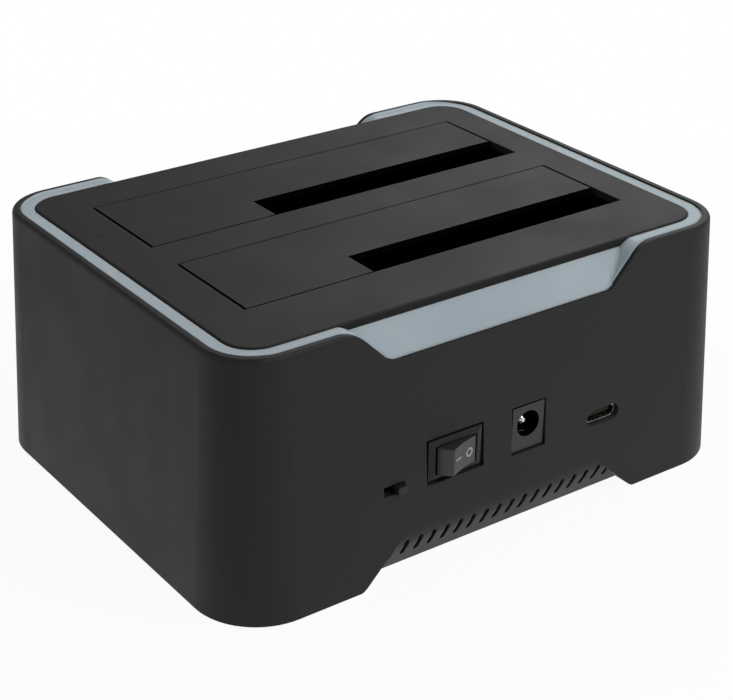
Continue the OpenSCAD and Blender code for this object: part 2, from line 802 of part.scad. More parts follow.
module top_panel() {
    color([0.15, 0.15, 0.15]) difference() {
        union() {
            plate(panel_l, panel_w, panel_r, panel_low, height);
            at_posts() translate([0, 0, base_top]) cylinder(h = panel_low - base_top + eps, d = post_d);
            for (bay = [0, 1]) at_lugs(bay)
                translate([0, 0, lug_top]) cylinder(h = boss_h + eps, d = boss_d);
        }
        for (bay = [0, 1]) {
            translate([slot_x, bay_y(bay), panel_low - eps]) cube([slot_l, slot_w, panel_t + past]);
            at_lugs(bay) translate([0, 0, lug_top - eps])
                cylinder(h = boss_h + panel_t / 2, d = small_screw_d + 2 * screw_fit);
        }
        at_posts() translate([0, 0, base_top - eps])
            cylinder(h = screw_l, d = screw_d + 2 * screw_fit);
        edge_cutter(panel_l, panel_w, panel_r, height, panel_round);
    }
}

module base_plate() {
    color([0.12, 0.12, 0.12]) difference() {
        union() {
            plate(base_l, base_w, inner_r + lean(base_top) - base_gap, base_low, base_top);
            at_studs() translate([0, 0, base_top - eps])
                cylinder(h = board_low - base_top + eps, d = stud_d);
        }
        both_sides() intersection() {
            along_y(-rim_w, 0) arch_outline(vent_wall + base_gap);
            vent_outside(vent_wall + base_gap);
        }
        at_posts() translate([0, 0, base_low - eps]) {
            cylinder(h = base_t + 2 * eps, d = screw_d + 2 * screw_fit);
            cylinder(h = screw_head_h + eps, d = screw_head_d + 2 * screw_fit);
        }
        at_studs() translate([0, 0, board_low - screw_l])
            cylinder(h = screw_l + eps, d = screw_d + 2 * screw_fit);
        at_pads() translate([0, 0, base_low - eps]) cylinder(h = pad_seat + eps, d = pad_d);
    }
}

// Places of the four rubber feet
module at_pads() {
    for (sx = [-1, 1], sy = [-1, 1]) translate([sx * pad_x, sy * (base_w / 2 - pad_y)]) children();
}

module rubber_feet() {
    color([0.08, 0.08, 0.08]) at_pads() cylinder(h = base_low + pad_seat, d = pad_d - 2 * mould_gap);
}

module case_screws() {
    color([0.55, 0.55, 0.57]) at_posts() translate([0, 0, base_low + screw_head_h])
        rotate([180, 0, 0]) screw(screw_d, screw_l, screw_head_d, screw_head_h);
}

// How far in front of its hinge an open flap's tip passes the well's floor
function tip_run() = sqrt(
    pow(hinge_y - flap_gap, 2) + pow(height - hinge_z, 2) - pow(hinge_z - well_floor, 2)
);

// Guide that holds a drive upright over its socket, with room in its floor for the flap's tip
module drive_well(bay) {
    near = bay_y(bay);
    far = near + well_far;
    low = well_floor - well_wall;
    color([0.11, 0.11, 0.11]) difference() {
        union() {
            translate([slot_x - well_wall, near - well_wall, low])
                cube([slot_l + 2 * well_wall, well_far + 2 * well_wall, panel_low - low]);
            at_lugs(bay) translate([-lug_l / 2, -lug_w / 2, lug_top - lug_t])
                cube([lug_l, lug_w, lug_t]);
        }
        translate([slot_x, near, well_floor])
            cube([slot_l, well_far, panel_low - well_floor + eps]);
        translate([socket_x - mouth_l / 2 - mouth_gap, near + socket_y - mouth_w / 2 - mouth_gap, low - eps])
            cube([mouth_l + 2 * mouth_gap, mouth_w + 2 * mouth_gap, well_wall + 2 * eps]);
        translate([slot_x, near + hinge_y - tip_run() - tip_gap, low - eps])
            cube([slot_l - small_l + tip_gap, tip_run() + tip_gap, well_wall + 2 * eps]);
        translate([slot_x - past, near + hinge_y, hinge_z]) rotate([0, 90, 0])
            cylinder(h = slot_l + 2 * past, d = pin_d + 2 * mould_gap);
        at_lugs(bay) translate([0, 0, lug_top - lug_t - eps])
            cylinder(h = lug_t + 2 * eps, d = small_screw_d + 2 * screw_fit);
    }
}

module well_screws() {
    color([0.6, 0.6, 0.62]) for (bay = [0, 1]) at_lugs(bay)
        translate([0, 0, lug_top - lug_t]) rotate([180, 0, 0])
            screw(small_screw_d, lug_t + boss_h, small_head_d, small_head_h);
}

// Sprung door that leaves the 2.5 inch slot open
module flap(bay) {
    near = bay_y(bay) + flap_gap;
    far = bay_y(bay) + slot_w - flap_gap;
    left = slot_x + flap_end_gap;
    right = slot_end - flap_end_gap;
    step_x = slot_end - small_l;
    step_y = bay_y(bay) + small_w;
    color([0.15, 0.15, 0.15]) difference() {
        union() {
            translate([0, 0, height - flap_t]) linear_extrude(flap_t) polygon([
                [left, near], [step_x, near], [step_x, step_y], [right, step_y], [right, far], [left, far]
            ]);
            for (x = knuckle_xs()) translate([x, bay_y(bay), 0]) hinge_arm();
        }
        translate([slot_x, bay_y(bay) + hinge_y, hinge_z]) rotate([0, 90, 0])
            cylinder(h = slot_l, d = pin_d + 2 * pin_fit);
    }
}

// Left ends of a flap's knuckles
function knuckle_xs() = [slot_x + knuckle_in, slot_x + knuckle_mid, slot_end - knuckle_in - knuckle_l];

// Knuckle on the hinge pin and the arm that reaches it under the panel's edge
module hinge_arm() {
    under = height - flap_t;
    arm_top = hinge_z + knuckle_d / 2;
    rotate([90, 0, 90]) linear_extrude(knuckle_l) {
        translate([hinge_y, hinge_z]) circle(d = knuckle_d);
        polygon([
            [hinge_y, hinge_z - knuckle_d / 2], [hinge_y, arm_top],
            [slot_w - flap_gap, arm_top], [slot_w - flap_gap, under + eps],
            [slot_w - flap_gap - knuckle_d, under + eps], [slot_w - knuckle_d, hinge_z - knuckle_d / 2]
        ]);
    }
}

// Steel pin through a well and its flap
module hinge_pin(bay) {
    l = slot_l + 2 * well_wall;
    color([0.72, 0.72, 0.74]) translate([slot_x - well_wall, bay_y(bay) + hinge_y, hinge_z])
        rotate([0, 90, 0]) cylinder(h = l, d = pin_d);
}

// Points along the spring wire: a leg under the flap, the coil round the pin, a leg down the well
function spring_path() = let (
    steps = coil_turns * turn_rings + turn_rings / 4,
    coil = [for (i = [0 : steps]) let (a = 90 - 360 * i / turn_rings)
        [coil_pitch * i / turn_rings, coil_r * cos(a), coil_r * sin(a)]],
    last = coil[steps],
    lift = height - flap_t - hinge_z - wire_d / 2 - leg_gap
) concat(
    [[0, -leg_l, lift]],
    coil,
    [[last[0], last[1], -leg_l]]
);

// Least gap of the spring wire to itself, from ring to ring a turn apart
function spring_gap() = let (p = spring_path(), n = len(p))
    min([for (i = [0 : n - 2], j = [i + turn_rings - 1 : 1 : n - 1]) norm(p[i] - p[j])]) - wire_d;

// Tube of a few sides along a path
module wire(path, d, sides) {
    n = len(path);
    unit = function (v) v / norm(v);
    way = [for (i = [0 : n - 1]) unit(path[min(i + 1, n - 1)] - path[max(i - 1, 0)])];
    rings = [for (i = [0 : n - 1])
        let (u = unit(cross(way[i], [1, 0.2, 0.1])), v = cross(way[i], u))
            [for (k = [0 : sides - 1]) let (a = 360 * k / sides)
                path[i] + d / 2 * (u * cos(a) + v * sin(a))]];
    points = [for (ring = rings) each ring];
    skin = [for (i = [0 : n - 2], k = [0 : sides - 1])
        let (a = i * sides + k, b = i * sides + (k + 1) % sides)
            each [[a, b, a + sides], [b, b + sides, a + sides]]];
    ends = [for (k = [1 : sides - 2])
        each [[0, k + 1, k], [(n - 1) * sides, (n - 1) * sides + k, (n - 1) * sides + k + 1]]];
    polyhedron(points, concat(skin, ends));
}

module flap_spring(bay) {
    color([0.75, 0.75, 0.77]) translate([spring_x, bay_y(bay) + hinge_y, hinge_z])
        wire(spring_path(), wire_d, wire_sides);
}

module main_board() {
    color([0.05, 0.2, 0.12]) difference() {
        translate([-board_l / 2, board_near, board_low]) cube([board_l, board_far - board_near, board_t]);
        at_studs() translate([0, 0, board_low - eps])
            cylinder(h = board_t + 2 * eps, d = screw_d + 2 * screw_fit);
    }
}

module board_screws() {
    color([0.7, 0.7, 0.72]) at_studs() translate([0, 0, board_top])
        screw(screw_d, screw_l - board_t, screw_head_d, screw_head_h);
}

// Middle of the signal and power slots along a socket, with their lengths and contact counts
function blade_slots() = [
    [-mouth_l / 2 + 2 + signal_l / 2, signal_l, signal_count],
    [mouth_l / 2 - 2 - power_l / 2, power_l, power_count]
];

// Upright drive socket
module sata_socket(bay) {
    color([0.06, 0.06, 0.07]) translate([socket_x, bay_y(bay) + socket_y, board_top]) difference() {
        union() {
            translate([-socket_l / 2, -socket_w / 2, 0]) cube([socket_l, socket_w, socket_foot]);
            translate([-mouth_l / 2, -mouth_w / 2, 0]) cube([mouth_l, mouth_w, socket_h]);
        }
        for (slot = blade_slots())
            translate([slot[0] - slot[1] / 2, -blade_slot / 2, socket_h - blade_depth])
                cube([slot[1], blade_slot, blade_depth + eps]);
    }
}

module sata_contacts(bay) {
    color([0.85, 0.7, 0.35]) translate([socket_x, bay_y(bay) + socket_y, board_top])
        for (slot = blade_slots(), i = [0 : slot[2] - 1])
            translate([slot[0] + (i - (slot[2] - 1) / 2) * contact_pitch - contact_w / 2,
                blade_slot / 2 - contact_t, socket_h - blade_depth])
                cube([contact_w, contact_t, blade_depth - contact_w]);
}

module dc_jack_body() {
    color([0.1, 0.1, 0.1]) difference() {
        translate([jack_x - jack_w / 2, jack_face, board_top]) cube([jack_w, jack_d, jack_h]);
        translate([jack_x, 0, jack_z]) along_y(jack_face - eps, jack_face + jack_deep) circle(d = jack_bore);
    }
}

module dc_jack_pin() {
    front = jack_face + jack_pin_set;
    color([0.8, 0.8, 0.8]) translate([jack_x, 0, jack_z]) {
        along_y(front + jack_pin_tip, jack_face + jack_deep) circle(d = jack_pin_d);
        translate([0, front, 0]) rotate([-90, 0, 0])
            cylinder(h = jack_pin_tip, d1 = jack_pin_d - 2 * jack_pin_tip, d2 = jack_pin_d);
    }
}

module dc_jack_contact() {
    low = jack_z - sqrt(pow(jack_bore / 2, 2) - pow(leaf_w / 2, 2));
    color([0.8, 0.8, 0.8]) translate([jack_x - leaf_w / 2, jack_face + leaf_set, low + mould_gap])
        cube([leaf_w, jack_deep - leaf_set, leaf_t]);
}

module usb_c_shell() {
    color([0.7, 0.7, 0.72]) translate([usb_x, 0, usb_z]) difference() {
        along_y(usb_face, usb_face + usb_d) stadium(usb_w, usb_h);
        along_y(usb_face - eps, usb_face + usb_d + eps)
            stadium(usb_w - 2 * usb_wall, usb_h - 2 * usb_wall);
    }
}

module usb_c_tongue() {
    back = usb_face + usb_d;
    trim = 2 * usb_wall + 2 * mould_gap;
    color([0.07, 0.07, 0.08]) translate([usb_x, 0, usb_z]) {
        along_y(back - usb_back, back) stadium(usb_w - trim, usb_h - trim);
        along_y(usb_face + tongue_set, back) square([tongue_w, tongue_t], center = true);
    }
}

module usb_c_contacts() {
    color([0.85, 0.7, 0.35]) translate([usb_x, usb_face + tongue_set + usb_contact_w, usb_z])
        for (i = [0 : usb_count - 1], side = [-1, 1])
            translate([(i - (usb_count - 1) / 2) * usb_pitch - usb_contact_w / 2, 0,
                side * (tongue_t + usb_contact_t) / 2 - usb_contact_t / 2])
                cube([usb_contact_w, usb_contact_l, usb_contact_t]);
}

module slide_switch_body() {
    channel = knob_l + knob_travel + 2 * knob_gap;
    color([0.65, 0.65, 0.67]) translate([slide_x, slide_front, slide_z]) difference() {
        translate([-slide_l / 2, 0, -slide_h / 2]) cube([slide_l, slide_d, slide_h]);
        translate([-channel / 2, -eps, knob_z - slide_z - knob_h / 2 - knob_gap])
            cube([channel, knob_root + knob_gap, knob_h + 2 * knob_gap]);
    }
}

// The knob stands at the right end of its travel
module slide_switch_knob() {
    color([0.75, 0.75, 0.74]) translate([slide_x + knob_travel / 2, 0, knob_z])
        along_y(slide_face - knob_proud, slide_front + knob_root) square([knob_l, knob_h], center = true);
}

// Front of the switch's flange, which slopes up to the rocker's well on all four sides
module bezel() {
    land_l = rocker_well_l + 2 * bezel_land;
    land_h = pocket_h + 2 * bezel_land;
    low = flange_edge + eps;
    intersection() {
        translate([0, 0, -flange_h / 2]) linear_extrude(flange_h) polygon([
            [-flange_l / 2, low], [-flange_l / 2, flange_edge], [-land_l / 2, flange_face],
            [land_l / 2, flange_face], [flange_l / 2, flange_edge], [flange_l / 2, low]
        ]);
        along_x(flange_l) polygon([
            [low, -flange_h / 2], [flange_edge, -flange_h / 2], [flange_face, -land_h / 2],
            [flange_face, land_h / 2], [flange_edge, flange_h / 2], [low, flange_h / 2]
        ]);
    }
}

module power_switch_body() {
    color([0.09, 0.09, 0.09]) translate([switch_x, 0, switch_z]) difference() {
        union() {
            bezel();
            along_y(flange_edge, flange_back) square([flange_l, flange_h], center = true);
            along_y(flange_back - eps, case_back) square([case_l, case_h], center = true);
        }
        along_y(flange_face - eps, flange_face + rocker_well_d)
            square([rocker_well_l, pocket_h], center = true);
        translate([0, pivot_y, 0]) cylinder(h = case_h, d = pivot_d + 2 * pivot_fit, center = true);
    }
}

// Rocker with its right side pressed in
module power_rocker() {
    face = sqrt(pow(rocker_r, 2) - pow(rocker_l / 2, 2));
    color([0.16, 0.16, 0.17]) translate([switch_x, pivot_y, switch_z]) rotate([0, 0, rocker_tilt]) {
        translate([0, 0, -rocker_h / 2]) linear_extrude(rocker_h) {
            circle(d = hub_d);
            difference() {
                intersection() {
                    circle(rocker_r);
                    translate([-rocker_r, -face]) square([2 * rocker_r, face - rocker_gap]);
                }
                translate([0, -face - sqrt(pow(rocker_face_r, 2) - pow(rocker_l / 2, 2))])
                    circle(rocker_face_r);
            }
        }
        cylinder(h = case_h - 2 * rocker_gap, d = pivot_d, center = true);
    }
}

// Places of the switch's two terminals
module at_terminals() {
    for (side = [-1, 1])
        translate([switch_x + side * terminal_gap / 2, 0, switch_z - terminal_drop]) children();
}

module power_switch_terminals() {
    color([0.78, 0.74, 0.66]) at_terminals() along_y(case_back, lead_y)
        square([terminal_w, terminal_t], center = true);
}

// Leads from the switch's terminals down to the board
module power_leads() {
    drop = switch_z - terminal_drop - lead_bend - board_top;
    color([0.5, 0.06, 0.05]) at_terminals() translate([0, lead_y, 0]) {
        translate([0, 0, -lead_bend]) rotate([90, 0, 90]) rotate_extrude(angle = 90)
            translate([lead_bend, 0]) circle(d = lead_d);
        translate([0, lead_bend, -lead_bend - drop]) cylinder(h = drop, d = lead_d);
    }
}

// Block that lies on the board, by its middle and size
module on_board(at, size) {
    translate([at[0] - size[0] / 2, at[1] - size[1] / 2, board_top]) cube(size);
}

module bridge_chip() {
    color([0.07, 0.07, 0.08]) on_board(chip_at, chip_size);
}

module memory_chip() {
    color([0.07, 0.07, 0.08]) on_board(memory_at, memory_size);
}

module regulators() {
    color([0.08, 0.08, 0.09]) for (at = regulator_at) on_board(at, regulator_size);
}

module inductors() {
    color([0.25, 0.25, 0.26]) for (at = inductor_at) on_board(at, inductor_size);
}

module capacitors() {
    color([0.6, 0.6, 0.62]) for (at = capacitor_at)
        translate([at[0], at[1], board_top]) cylinder(h = capacitor_h, d = capacitor_d);
}

module crystal() {
    color([0.75, 0.75, 0.76]) on_board(crystal_at, crystal_size);
}

module status_leds() {
    color([0.9, 0.9, 0.82]) at_pipes() on_board([0, 0], led_size);
}

echo(spring_gap = spring_gap());

outer_shell();
light_ring();
top_panel();
base_plate();
rubber_feet();
case_screws();
drive_well(0);  // drive_well_1
drive_well(1);  // drive_well_2
well_screws();
flap(0);  // flap_1
flap(1);  // flap_2
hinge_pin(0);  // hinge_pin_1
hinge_pin(1);  // hinge_pin_2
flap_spring(0);  // flap_spring_1
flap_spring(1);  // flap_spring_2
main_board();
board_screws();
sata_socket(0);  // sata_socket_1
sata_socket(1);  // sata_socket_2
sata_contacts(0);  // sata_contacts_1
sata_contacts(1);  // sata_contacts_2
dc_jack_body();
dc_jack_pin();
dc_jack_contact();
usb_c_shell();
usb_c_tongue();
usb_c_contacts();
slide_switch_body();
slide_switch_knob();
power_switch_body();
power_rocker();
power_switch_terminals();
power_leads();
bridge_chip();
memory_chip();
regulators();
inductors();
capacitors();
crystal();
status_leds();
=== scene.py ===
"""Two-bay hard drive docking station: its finishes, small added pieces, camera, floor and light."""

from __future__ import annotations

import logging
import math
from dataclasses import dataclass, field
from enum import Enum
from typing import Any, Optional, Sequence, Union

import bmesh
import bpy
from mathutils import Matrix, Vector


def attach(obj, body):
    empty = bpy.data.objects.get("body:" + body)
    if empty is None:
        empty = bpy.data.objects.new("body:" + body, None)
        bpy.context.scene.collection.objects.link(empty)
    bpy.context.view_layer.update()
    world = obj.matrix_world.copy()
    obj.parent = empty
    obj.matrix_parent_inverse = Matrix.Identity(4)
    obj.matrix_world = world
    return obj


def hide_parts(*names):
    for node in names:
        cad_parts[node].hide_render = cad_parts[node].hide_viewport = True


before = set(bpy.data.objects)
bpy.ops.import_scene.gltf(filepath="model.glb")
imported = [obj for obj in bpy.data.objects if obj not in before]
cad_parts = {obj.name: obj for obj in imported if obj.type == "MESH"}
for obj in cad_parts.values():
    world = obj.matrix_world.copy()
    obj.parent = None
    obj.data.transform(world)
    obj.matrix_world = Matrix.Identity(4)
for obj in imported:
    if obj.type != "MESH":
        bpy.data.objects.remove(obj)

LOG = logging.getLogger("docking_station")
MM = 0.001
BEVEL_SAMPLES = 6
EDGE_BENDS = (0.02, 0.3)
FACE_TURNS = (0.35, 0.75)
HINGE_Y = {1: 0.4, 2: 38.8}
NUMBER_AT = {1: (-56.4, -18.0), 2: (-56.4, 20.4)}

Colour = tuple[float, float, float]
Point = tuple[float, float, float]


class Body(Enum):
    """Bodies of the part that added pieces ride on."""

    CASE = "case"
    FLAP_1 = "flap_1"
    FLAP_2 = "flap_2"
    ROCKER = "power_rocker"


class Slot(Enum):
    """Material slots of the record; the passives name them, but no added piece takes its finish from them.
    """

    STEEL = "steel"
    NICKEL = "nickel"
    CHIP = "chip"


class Way(Enum):
    """Way that a face looks, as an axis and its sign."""

    UP = ("Z", 1.0)
    NEAR = ("Y", -1.0)


class Wire:
    """A node's output socket, whose arithmetic adds Math nodes."""

    def __init__(self, graph: Graph, socket: bpy.types.NodeSocket) -> None:
        """Keeps the socket and the graph that it belongs to."""
        self.graph = graph
        self.socket = socket

    def out(self, name: str) -> Wire:
        """Gives another output of the same node, by its name."""
        return Wire(self.graph, pick(self.socket.node.outputs, name))

    def math(self, operation: str, first: Number, second: Number) -> Wire:
        """Adds a Math node.

        Args:
            operation: Name of the operation.
            first: First operand.
            second: Second operand.

        Returns:
            The result.
        """
        return self.graph.node("ShaderNodeMath", {"operation": operation}, {0: first, 1: second})

    def __add__(self, other: Number) -> Wire:
        """Adds a value or another wire."""
        return self.math("ADD", self, other)

    def __radd__(self, other: Number) -> Wire:
        """Adds this wire to a value."""
        return self.math("ADD", other, self)

    def __sub__(self, other: Number) -> Wire:
        """Takes a value or another wire away."""
        return self.math("SUBTRACT", self, other)

    def __rsub__(self, other: Number) -> Wire:
        """Takes this wire away from a value."""
        return self.math("SUBTRACT", other, self)

    def __mul__(self, other: Number) -> Wire:
        """Multiplies by a value or another wire."""
        return self.math("MULTIPLY", self, other)

    def __rmul__(self, other: Number) -> Wire:
        """Multiplies a value by this wire."""
        return self.math("MULTIPLY", other, self)


Number = Union[float, Wire]
Key = Union[str, int]


def pick(sockets: Any, key: Optional[Key]) -> bpy.types.NodeSocket:
    """Finds a node's socket.

    Args:
        sockets: The node's inputs or outputs.
        key: A place, a name, or nothing for the first socket in use.

    Returns:
        The socket.
    """
    if isinstance(key, int):
        return sockets[key]
    return next(s for s in sockets if s.enabled and (key is None or s.name == key))


@dataclass
class Graph:
    """A node tree that is filled one node at a time."""

    tree: bpy.types.NodeTree

    def node(self, kind: str, settings: Optional[dict[str, Any]] = None,
             inputs: Optional[dict[Key, Any]] = None, output: Optional[str] = None) -> Wire:
        """Adds a node, sets it up and then fills its sockets.

        Args:
            kind: The node's type.
            settings: The node's own settings.
            inputs: Values or wires for its sockets.
            output: Name of the output to give back.

        Returns:
            One of the node's outputs.
        """
        made = self.tree.nodes.new(kind)
        for name, value in (settings or {}).items():
            setattr(made, name, value)
        for key, value in (inputs or {}).items():
            socket = pick(made.inputs, key)
            if isinstance(value, Wire):
                self.tree.links.new(value.socket, socket)
            else:
                socket.default_value = value
        return Wire(self, pick(made.outputs, output)) if len(made.outputs) else Wire(self, made.inputs[0])

    def mix(self, factor: Number, first: Any, second: Any) -> Wire:
        """Mixes two colours.

        Args:
            factor: Share of the second colour.
            first: First colour, or a wire.
            second: Second colour, or a wire.

        Returns:
            The mixed colour.
        """
        ends = [c if isinstance(c, Wire) else (*c, 1.0) for c in (first, second)]
        return self.node("ShaderNodeMix", {"data_type": "RGBA"},
                         {"Factor": factor, "A": ends[0], "B": ends[1]})

    def place(self, stretch: Point = (1.0, 1.0, 1.0)) -> Wire:
        """Gives the place on the object, stretched along its axes."""
        here = self.node("ShaderNodeTexCoord", output="Object")
        return self.node("ShaderNodeMapping", {}, {"Vector": here, "Scale": stretch})

    def noise(self, size: float, detail: float = 2.0, stretch: Point = (1.0, 1.0, 1.0)) -> Wire:
        """Adds noise.

        Args:
            size: Size of its spots in metres.
            detail: Number of finer layers.
            stretch: How the place is stretched.

        Returns:
            The noise, from 0 to 1.
        """
        return self.node("ShaderNodeTexNoise", {}, {
            "Vector": self.place(stretch), "Scale": 1.0 / size, "Detail": detail}, "Fac")

    def spread(self, value: Wire, low: float, high: float, start: float = 0.3, end: float = 0.7) -> Wire:
        """Spreads a value from one range to another.

        Args:
            value: What is spread.
            low: Result at the start.
            high: Result at the end.
            start: Where the range starts.
            end: Where the range ends.

        Returns:
            The result, kept between low and high.
        """
        return self.node("ShaderNodeMapRange", {"clamp": True}, {
            "Value": value, "From Min": start, "From Max": end, "To Min": low, "To Max": high})

    def soft_normal(self, radius: Number) -> Wire:
        """Gives normals that round the edges off, by a radius in metres."""
        return self.node("ShaderNodeBevel", {"samples": BEVEL_SAMPLES}, {"Radius": radius})

    def bump(self, height: Wire, depth: float, normal: Wire) -> Wire:
        """Raises a surface.

        Args:
            height: Height from 0 to 1.
            depth: Height of 1 in metres.
            normal: The normals below.

        Returns:
            The new normals.
        """
        return self.node("ShaderNodeBump", {}, {
            "Strength": 1.0, "Distance": depth, "Height": height, "Normal": normal})

    def edges(self, soft: Wire) -> Wire:
        """Gives a mask of the edges, from rounded normals."""
        plain = self.node("ShaderNodeNewGeometry", output="Normal")
        along = self.node("ShaderNodeVectorMath", {"operation": "DOT_PRODUCT"},
                          {0: soft, 1: plain}, "Value")
        return self.spread(1.0 - along, 0.0, 1.0, *EDGE_BENDS)

    def height(self) -> Wire:
        """Gives the height above the table in metres."""
        return self.node("ShaderNodeSeparateXYZ", {}, {0: self.place()}, "Z")

    def turned_from(self, way: Way) -> Wire:
        """Gives 0 on faces that look one way, and 1 on all others: the mask of the painted side shade."""
        axis, sign = way.value
        normal = self.node("ShaderNodeTexCoord", output="Normal")
        along = self.node("ShaderNodeSeparateXYZ", {}, {0: normal}, axis) * sign
        return self.spread(along, 1.0, 0.0, *FACE_TURNS)

    def shader(self, **sockets: Any) -> Wire:
        """Adds a shader.

        Args:
            sockets: Values or wires for its sockets, with spaces as underscores.

        Returns:
            The shader.
        """
        named = {key.replace("_", " "): value for key, value in sockets.items()}
        return self.node("ShaderNodeBsdfPrincipled", {}, named)

    def surface(self, shader: Wire, share: Optional[Number] = None, other: Optional[Wire] = None) -> None:
        """Ends a material in one shader, or in two.

        Args:
            shader: The shader.
            share: Share of the other shader.
            other: The other shader.
        """
        if share is not None:
            shader = self.node("ShaderNodeMixShader", {}, {0: share, 1: shader, 2: other})
        self.node("ShaderNodeOutputMaterial", {}, {"Surface": shader})


def shaded(colour: Colour, factor: float) -> Colour:
    """Makes a colour darker or paler by a factor."""
    return tuple(c * factor for c in colour)


def empty_graph(owner: Any) -> Graph:
    """Turns an owner's nodes on and empties its tree.

    Args:
        owner: A material or a world.

    Returns:
        The tree's graph.
    """
    owner.use_nodes = True
    owner.node_tree.nodes.clear()
    return Graph(owner.node_tree)


@dataclass(frozen=True)
class Finish:
    """What all finishes have in common."""

    name: str

    def material(self) -> bpy.types.Material:
        """Gives the finish's material, which is made at its first use."""
        found = bpy.data.materials.get(self.name)
        if found is not None:
            return found
        made = bpy.data.materials.new(self.name)
        self.draw(empty_graph(made))
        return made

    def draw(self, graph: Graph) -> None:
        """Draws the finish's nodes.

        Args:
            graph: The material's empty tree.
        """
        raise NotImplementedError


@dataclass(frozen=True)
class MouldedPlastic(Finish):
    """Plastic with a spark-eroded grain, soft edges, a little polish where it is handled, and, when sides
    is given, painted shade on the faces that don't look the face way.
    """

    colour: Colour
    roughness: float = 0.5
    grain: float = 0.35 * MM
    depth: float = 0.012 * MM
    edge: float = 0.25 * MM
    mottle: float = 0.10
    wear: float = 0.25
    gloss: float = 0.3
    # face and sides paint shade: faces that don't look the face way get the colour scaled by sides, without
    # sheen; None paints none.
    face: Way = Way.UP
    sides: Optional[float] = None
    rim_edge: float = 0.0
    rim_from: float = 50.0 * MM
    cloud_size: float = 14.0 * MM
    speck_size: float = 0.5 * MM
    speck_share: float = 0.35
    rough_spread: float = 0.04
    rub_polish: float = 0.05
    side_roughness: float = 0.9

    def draw(self, graph: Graph) -> None:
        """Draws mottled colour, grain, edges that are paler and smoother, and painted shade on the side
        faces: the colour scaled by sides, without sheen.
        """
        edge: Number = self.edge
        if self.rim_edge > 0.0:
            edge = graph.spread(graph.height(), self.edge, self.rim_edge, self.rim_from, self.rim_from + MM)
        soft = graph.soft_normal(edge)
        rubbed = graph.edges(soft)
        cloud = graph.noise(self.cloud_size, 3.0)
        speck = graph.noise(self.speck_size, 1.0)
        dark = shaded(self.colour, 1.0 - self.mottle)
        pale = shaded(self.colour, 1.0 + self.mottle)
        worn = shaded(self.colour, 1.0 + 2.0 * self.wear)
        spots = (1.0 - self.speck_share) * cloud + self.speck_share * speck
        body = graph.mix(graph.spread(spots, 0.0, 1.0), dark, pale)
        colour = graph.mix(rubbed * self.wear, body, worn)
        dry = graph.spread(cloud, self.roughness - self.rough_spread, self.roughness + self.rough_spread)
        rough = dry - rubbed * self.rub_polish
        grain = graph.bump(graph.noise(self.grain, 2.0), self.depth, soft)
        shader = graph.shader(Base_Color=colour, Roughness=rough, Specular_IOR_Level=self.gloss,
                              Normal=grain)
        if self.sides is None:
            graph.surface(shader)
            return
        # Painted shade: the side faces get a scaled copy of the colour, with no sheen and high roughness.
        dull = shaded(self.colour, self.sides)
        other = graph.shader(Base_Color=(*dull, 1.0), Roughness=self.side_roughness,
                             Specular_IOR_Level=0.0, Normal=grain)
        graph.surface(shader, graph.turned_from(self.face), other)


@dataclass(frozen=True)
class MilkyPlastic(Finish):
    """Frosted light guide: pale, faintly clouded, smooth but not clear, with a painted highlight along its
    edges.
    """

    shade: Colour = (0.40, 0.475, 0.525)
    pale: Colour = (0.455, 0.530, 0.580)
    bright: Colour = (0.60, 0.66, 0.69)
    roughness: float = 0.42
    soft: float = 0.45 * MM
    depth: float = 0.6
    scatter: Point = (0.004, 0.005, 0.006)
    scatter_scale: float = 0.5
    gloss: float = 0.05
    cloud_size: float = 22.0 * MM
    frost_size: float = 0.22 * MM
    frost_depth: float = 0.004 * MM
    rough_spread: float = 0.05
    edge_share: float = 0.35

    def draw(self, graph: Graph) -> None:
        """Draws a clouded body with a fine frosting, and a painted highlight on its edges: a paler colour
        mixed in along them.
        """
        soft = graph.soft_normal(self.soft)
        cloud = graph.noise(self.cloud_size, 2.0)
        frost = graph.noise(self.frost_size, 1.0)
        body = graph.mix(graph.spread(cloud, 0.0, 1.0), self.shade, self.pale)
        # Painted highlight: the paler colour is mixed in wherever the rounded normals bend, along every
        # edge.
        graph.surface(graph.shader(
            Base_Color=graph.mix(graph.edges(soft) * self.edge_share, body, self.bright),
            Roughness=graph.spread(frost, self.roughness - self.rough_spread,
                                   self.roughness + self.rough_spread),
            Specular_IOR_Level=self.gloss,
            Subsurface_Weight=self.depth,
            Subsurface_Radius=self.scatter,
            Subsurface_Scale=self.scatter_scale,
            Normal=graph.bump(frost, self.frost_depth, soft),
        ))


class Draw(Enum):
    """Direction in which a metal was drawn or brushed, as the stretch of its marks."""

    ALONG_X = (0.06, 1.0, 1.0)
    ALONG_Y = (1.0, 0.06, 1.0)
    ALL_ROUND = (1.0, 1.0, 1.0)


@dataclass(frozen=True)
class Metal(Finish):
    """Bare or plated metal with draw marks and a little tarnish."""

    colour: Colour
    roughness: float = 0.28
    marks: Draw = Draw.ALL_ROUND
    mark: float = 0.12 * MM
    tarnish: float = 0.2
    edge: float = 0.06 * MM
    mark_depth: float = 0.003 * MM
    mark_share: float = 0.6
    cloud_size: float = 3.0 * MM
    smoother: float = 0.08
    rougher: float = 0.12

    def draw(self, graph: Graph) -> None:
        """Draws marks along one way, and tarnish in clouds."""
        soft = graph.soft_normal(self.edge)
        marks = graph.noise(self.mark, 2.0, self.marks.value)
        cloud = graph.noise(self.cloud_size, 3.0)
        dull = shaded(self.colour, 1.0 - self.tarnish)
        dust = self.mark_share * marks + (1.0 - self.mark_share) * cloud
        graph.surface(graph.shader(
            Base_Color=graph.mix(graph.spread(cloud, 0.0, 1.0), dull, self.colour),
            Metallic=1.0,
            Roughness=graph.spread(dust, self.roughness - self.smoother, self.roughness + self.rougher),
            Normal=graph.bump(marks, self.mark_depth, soft),
        ))


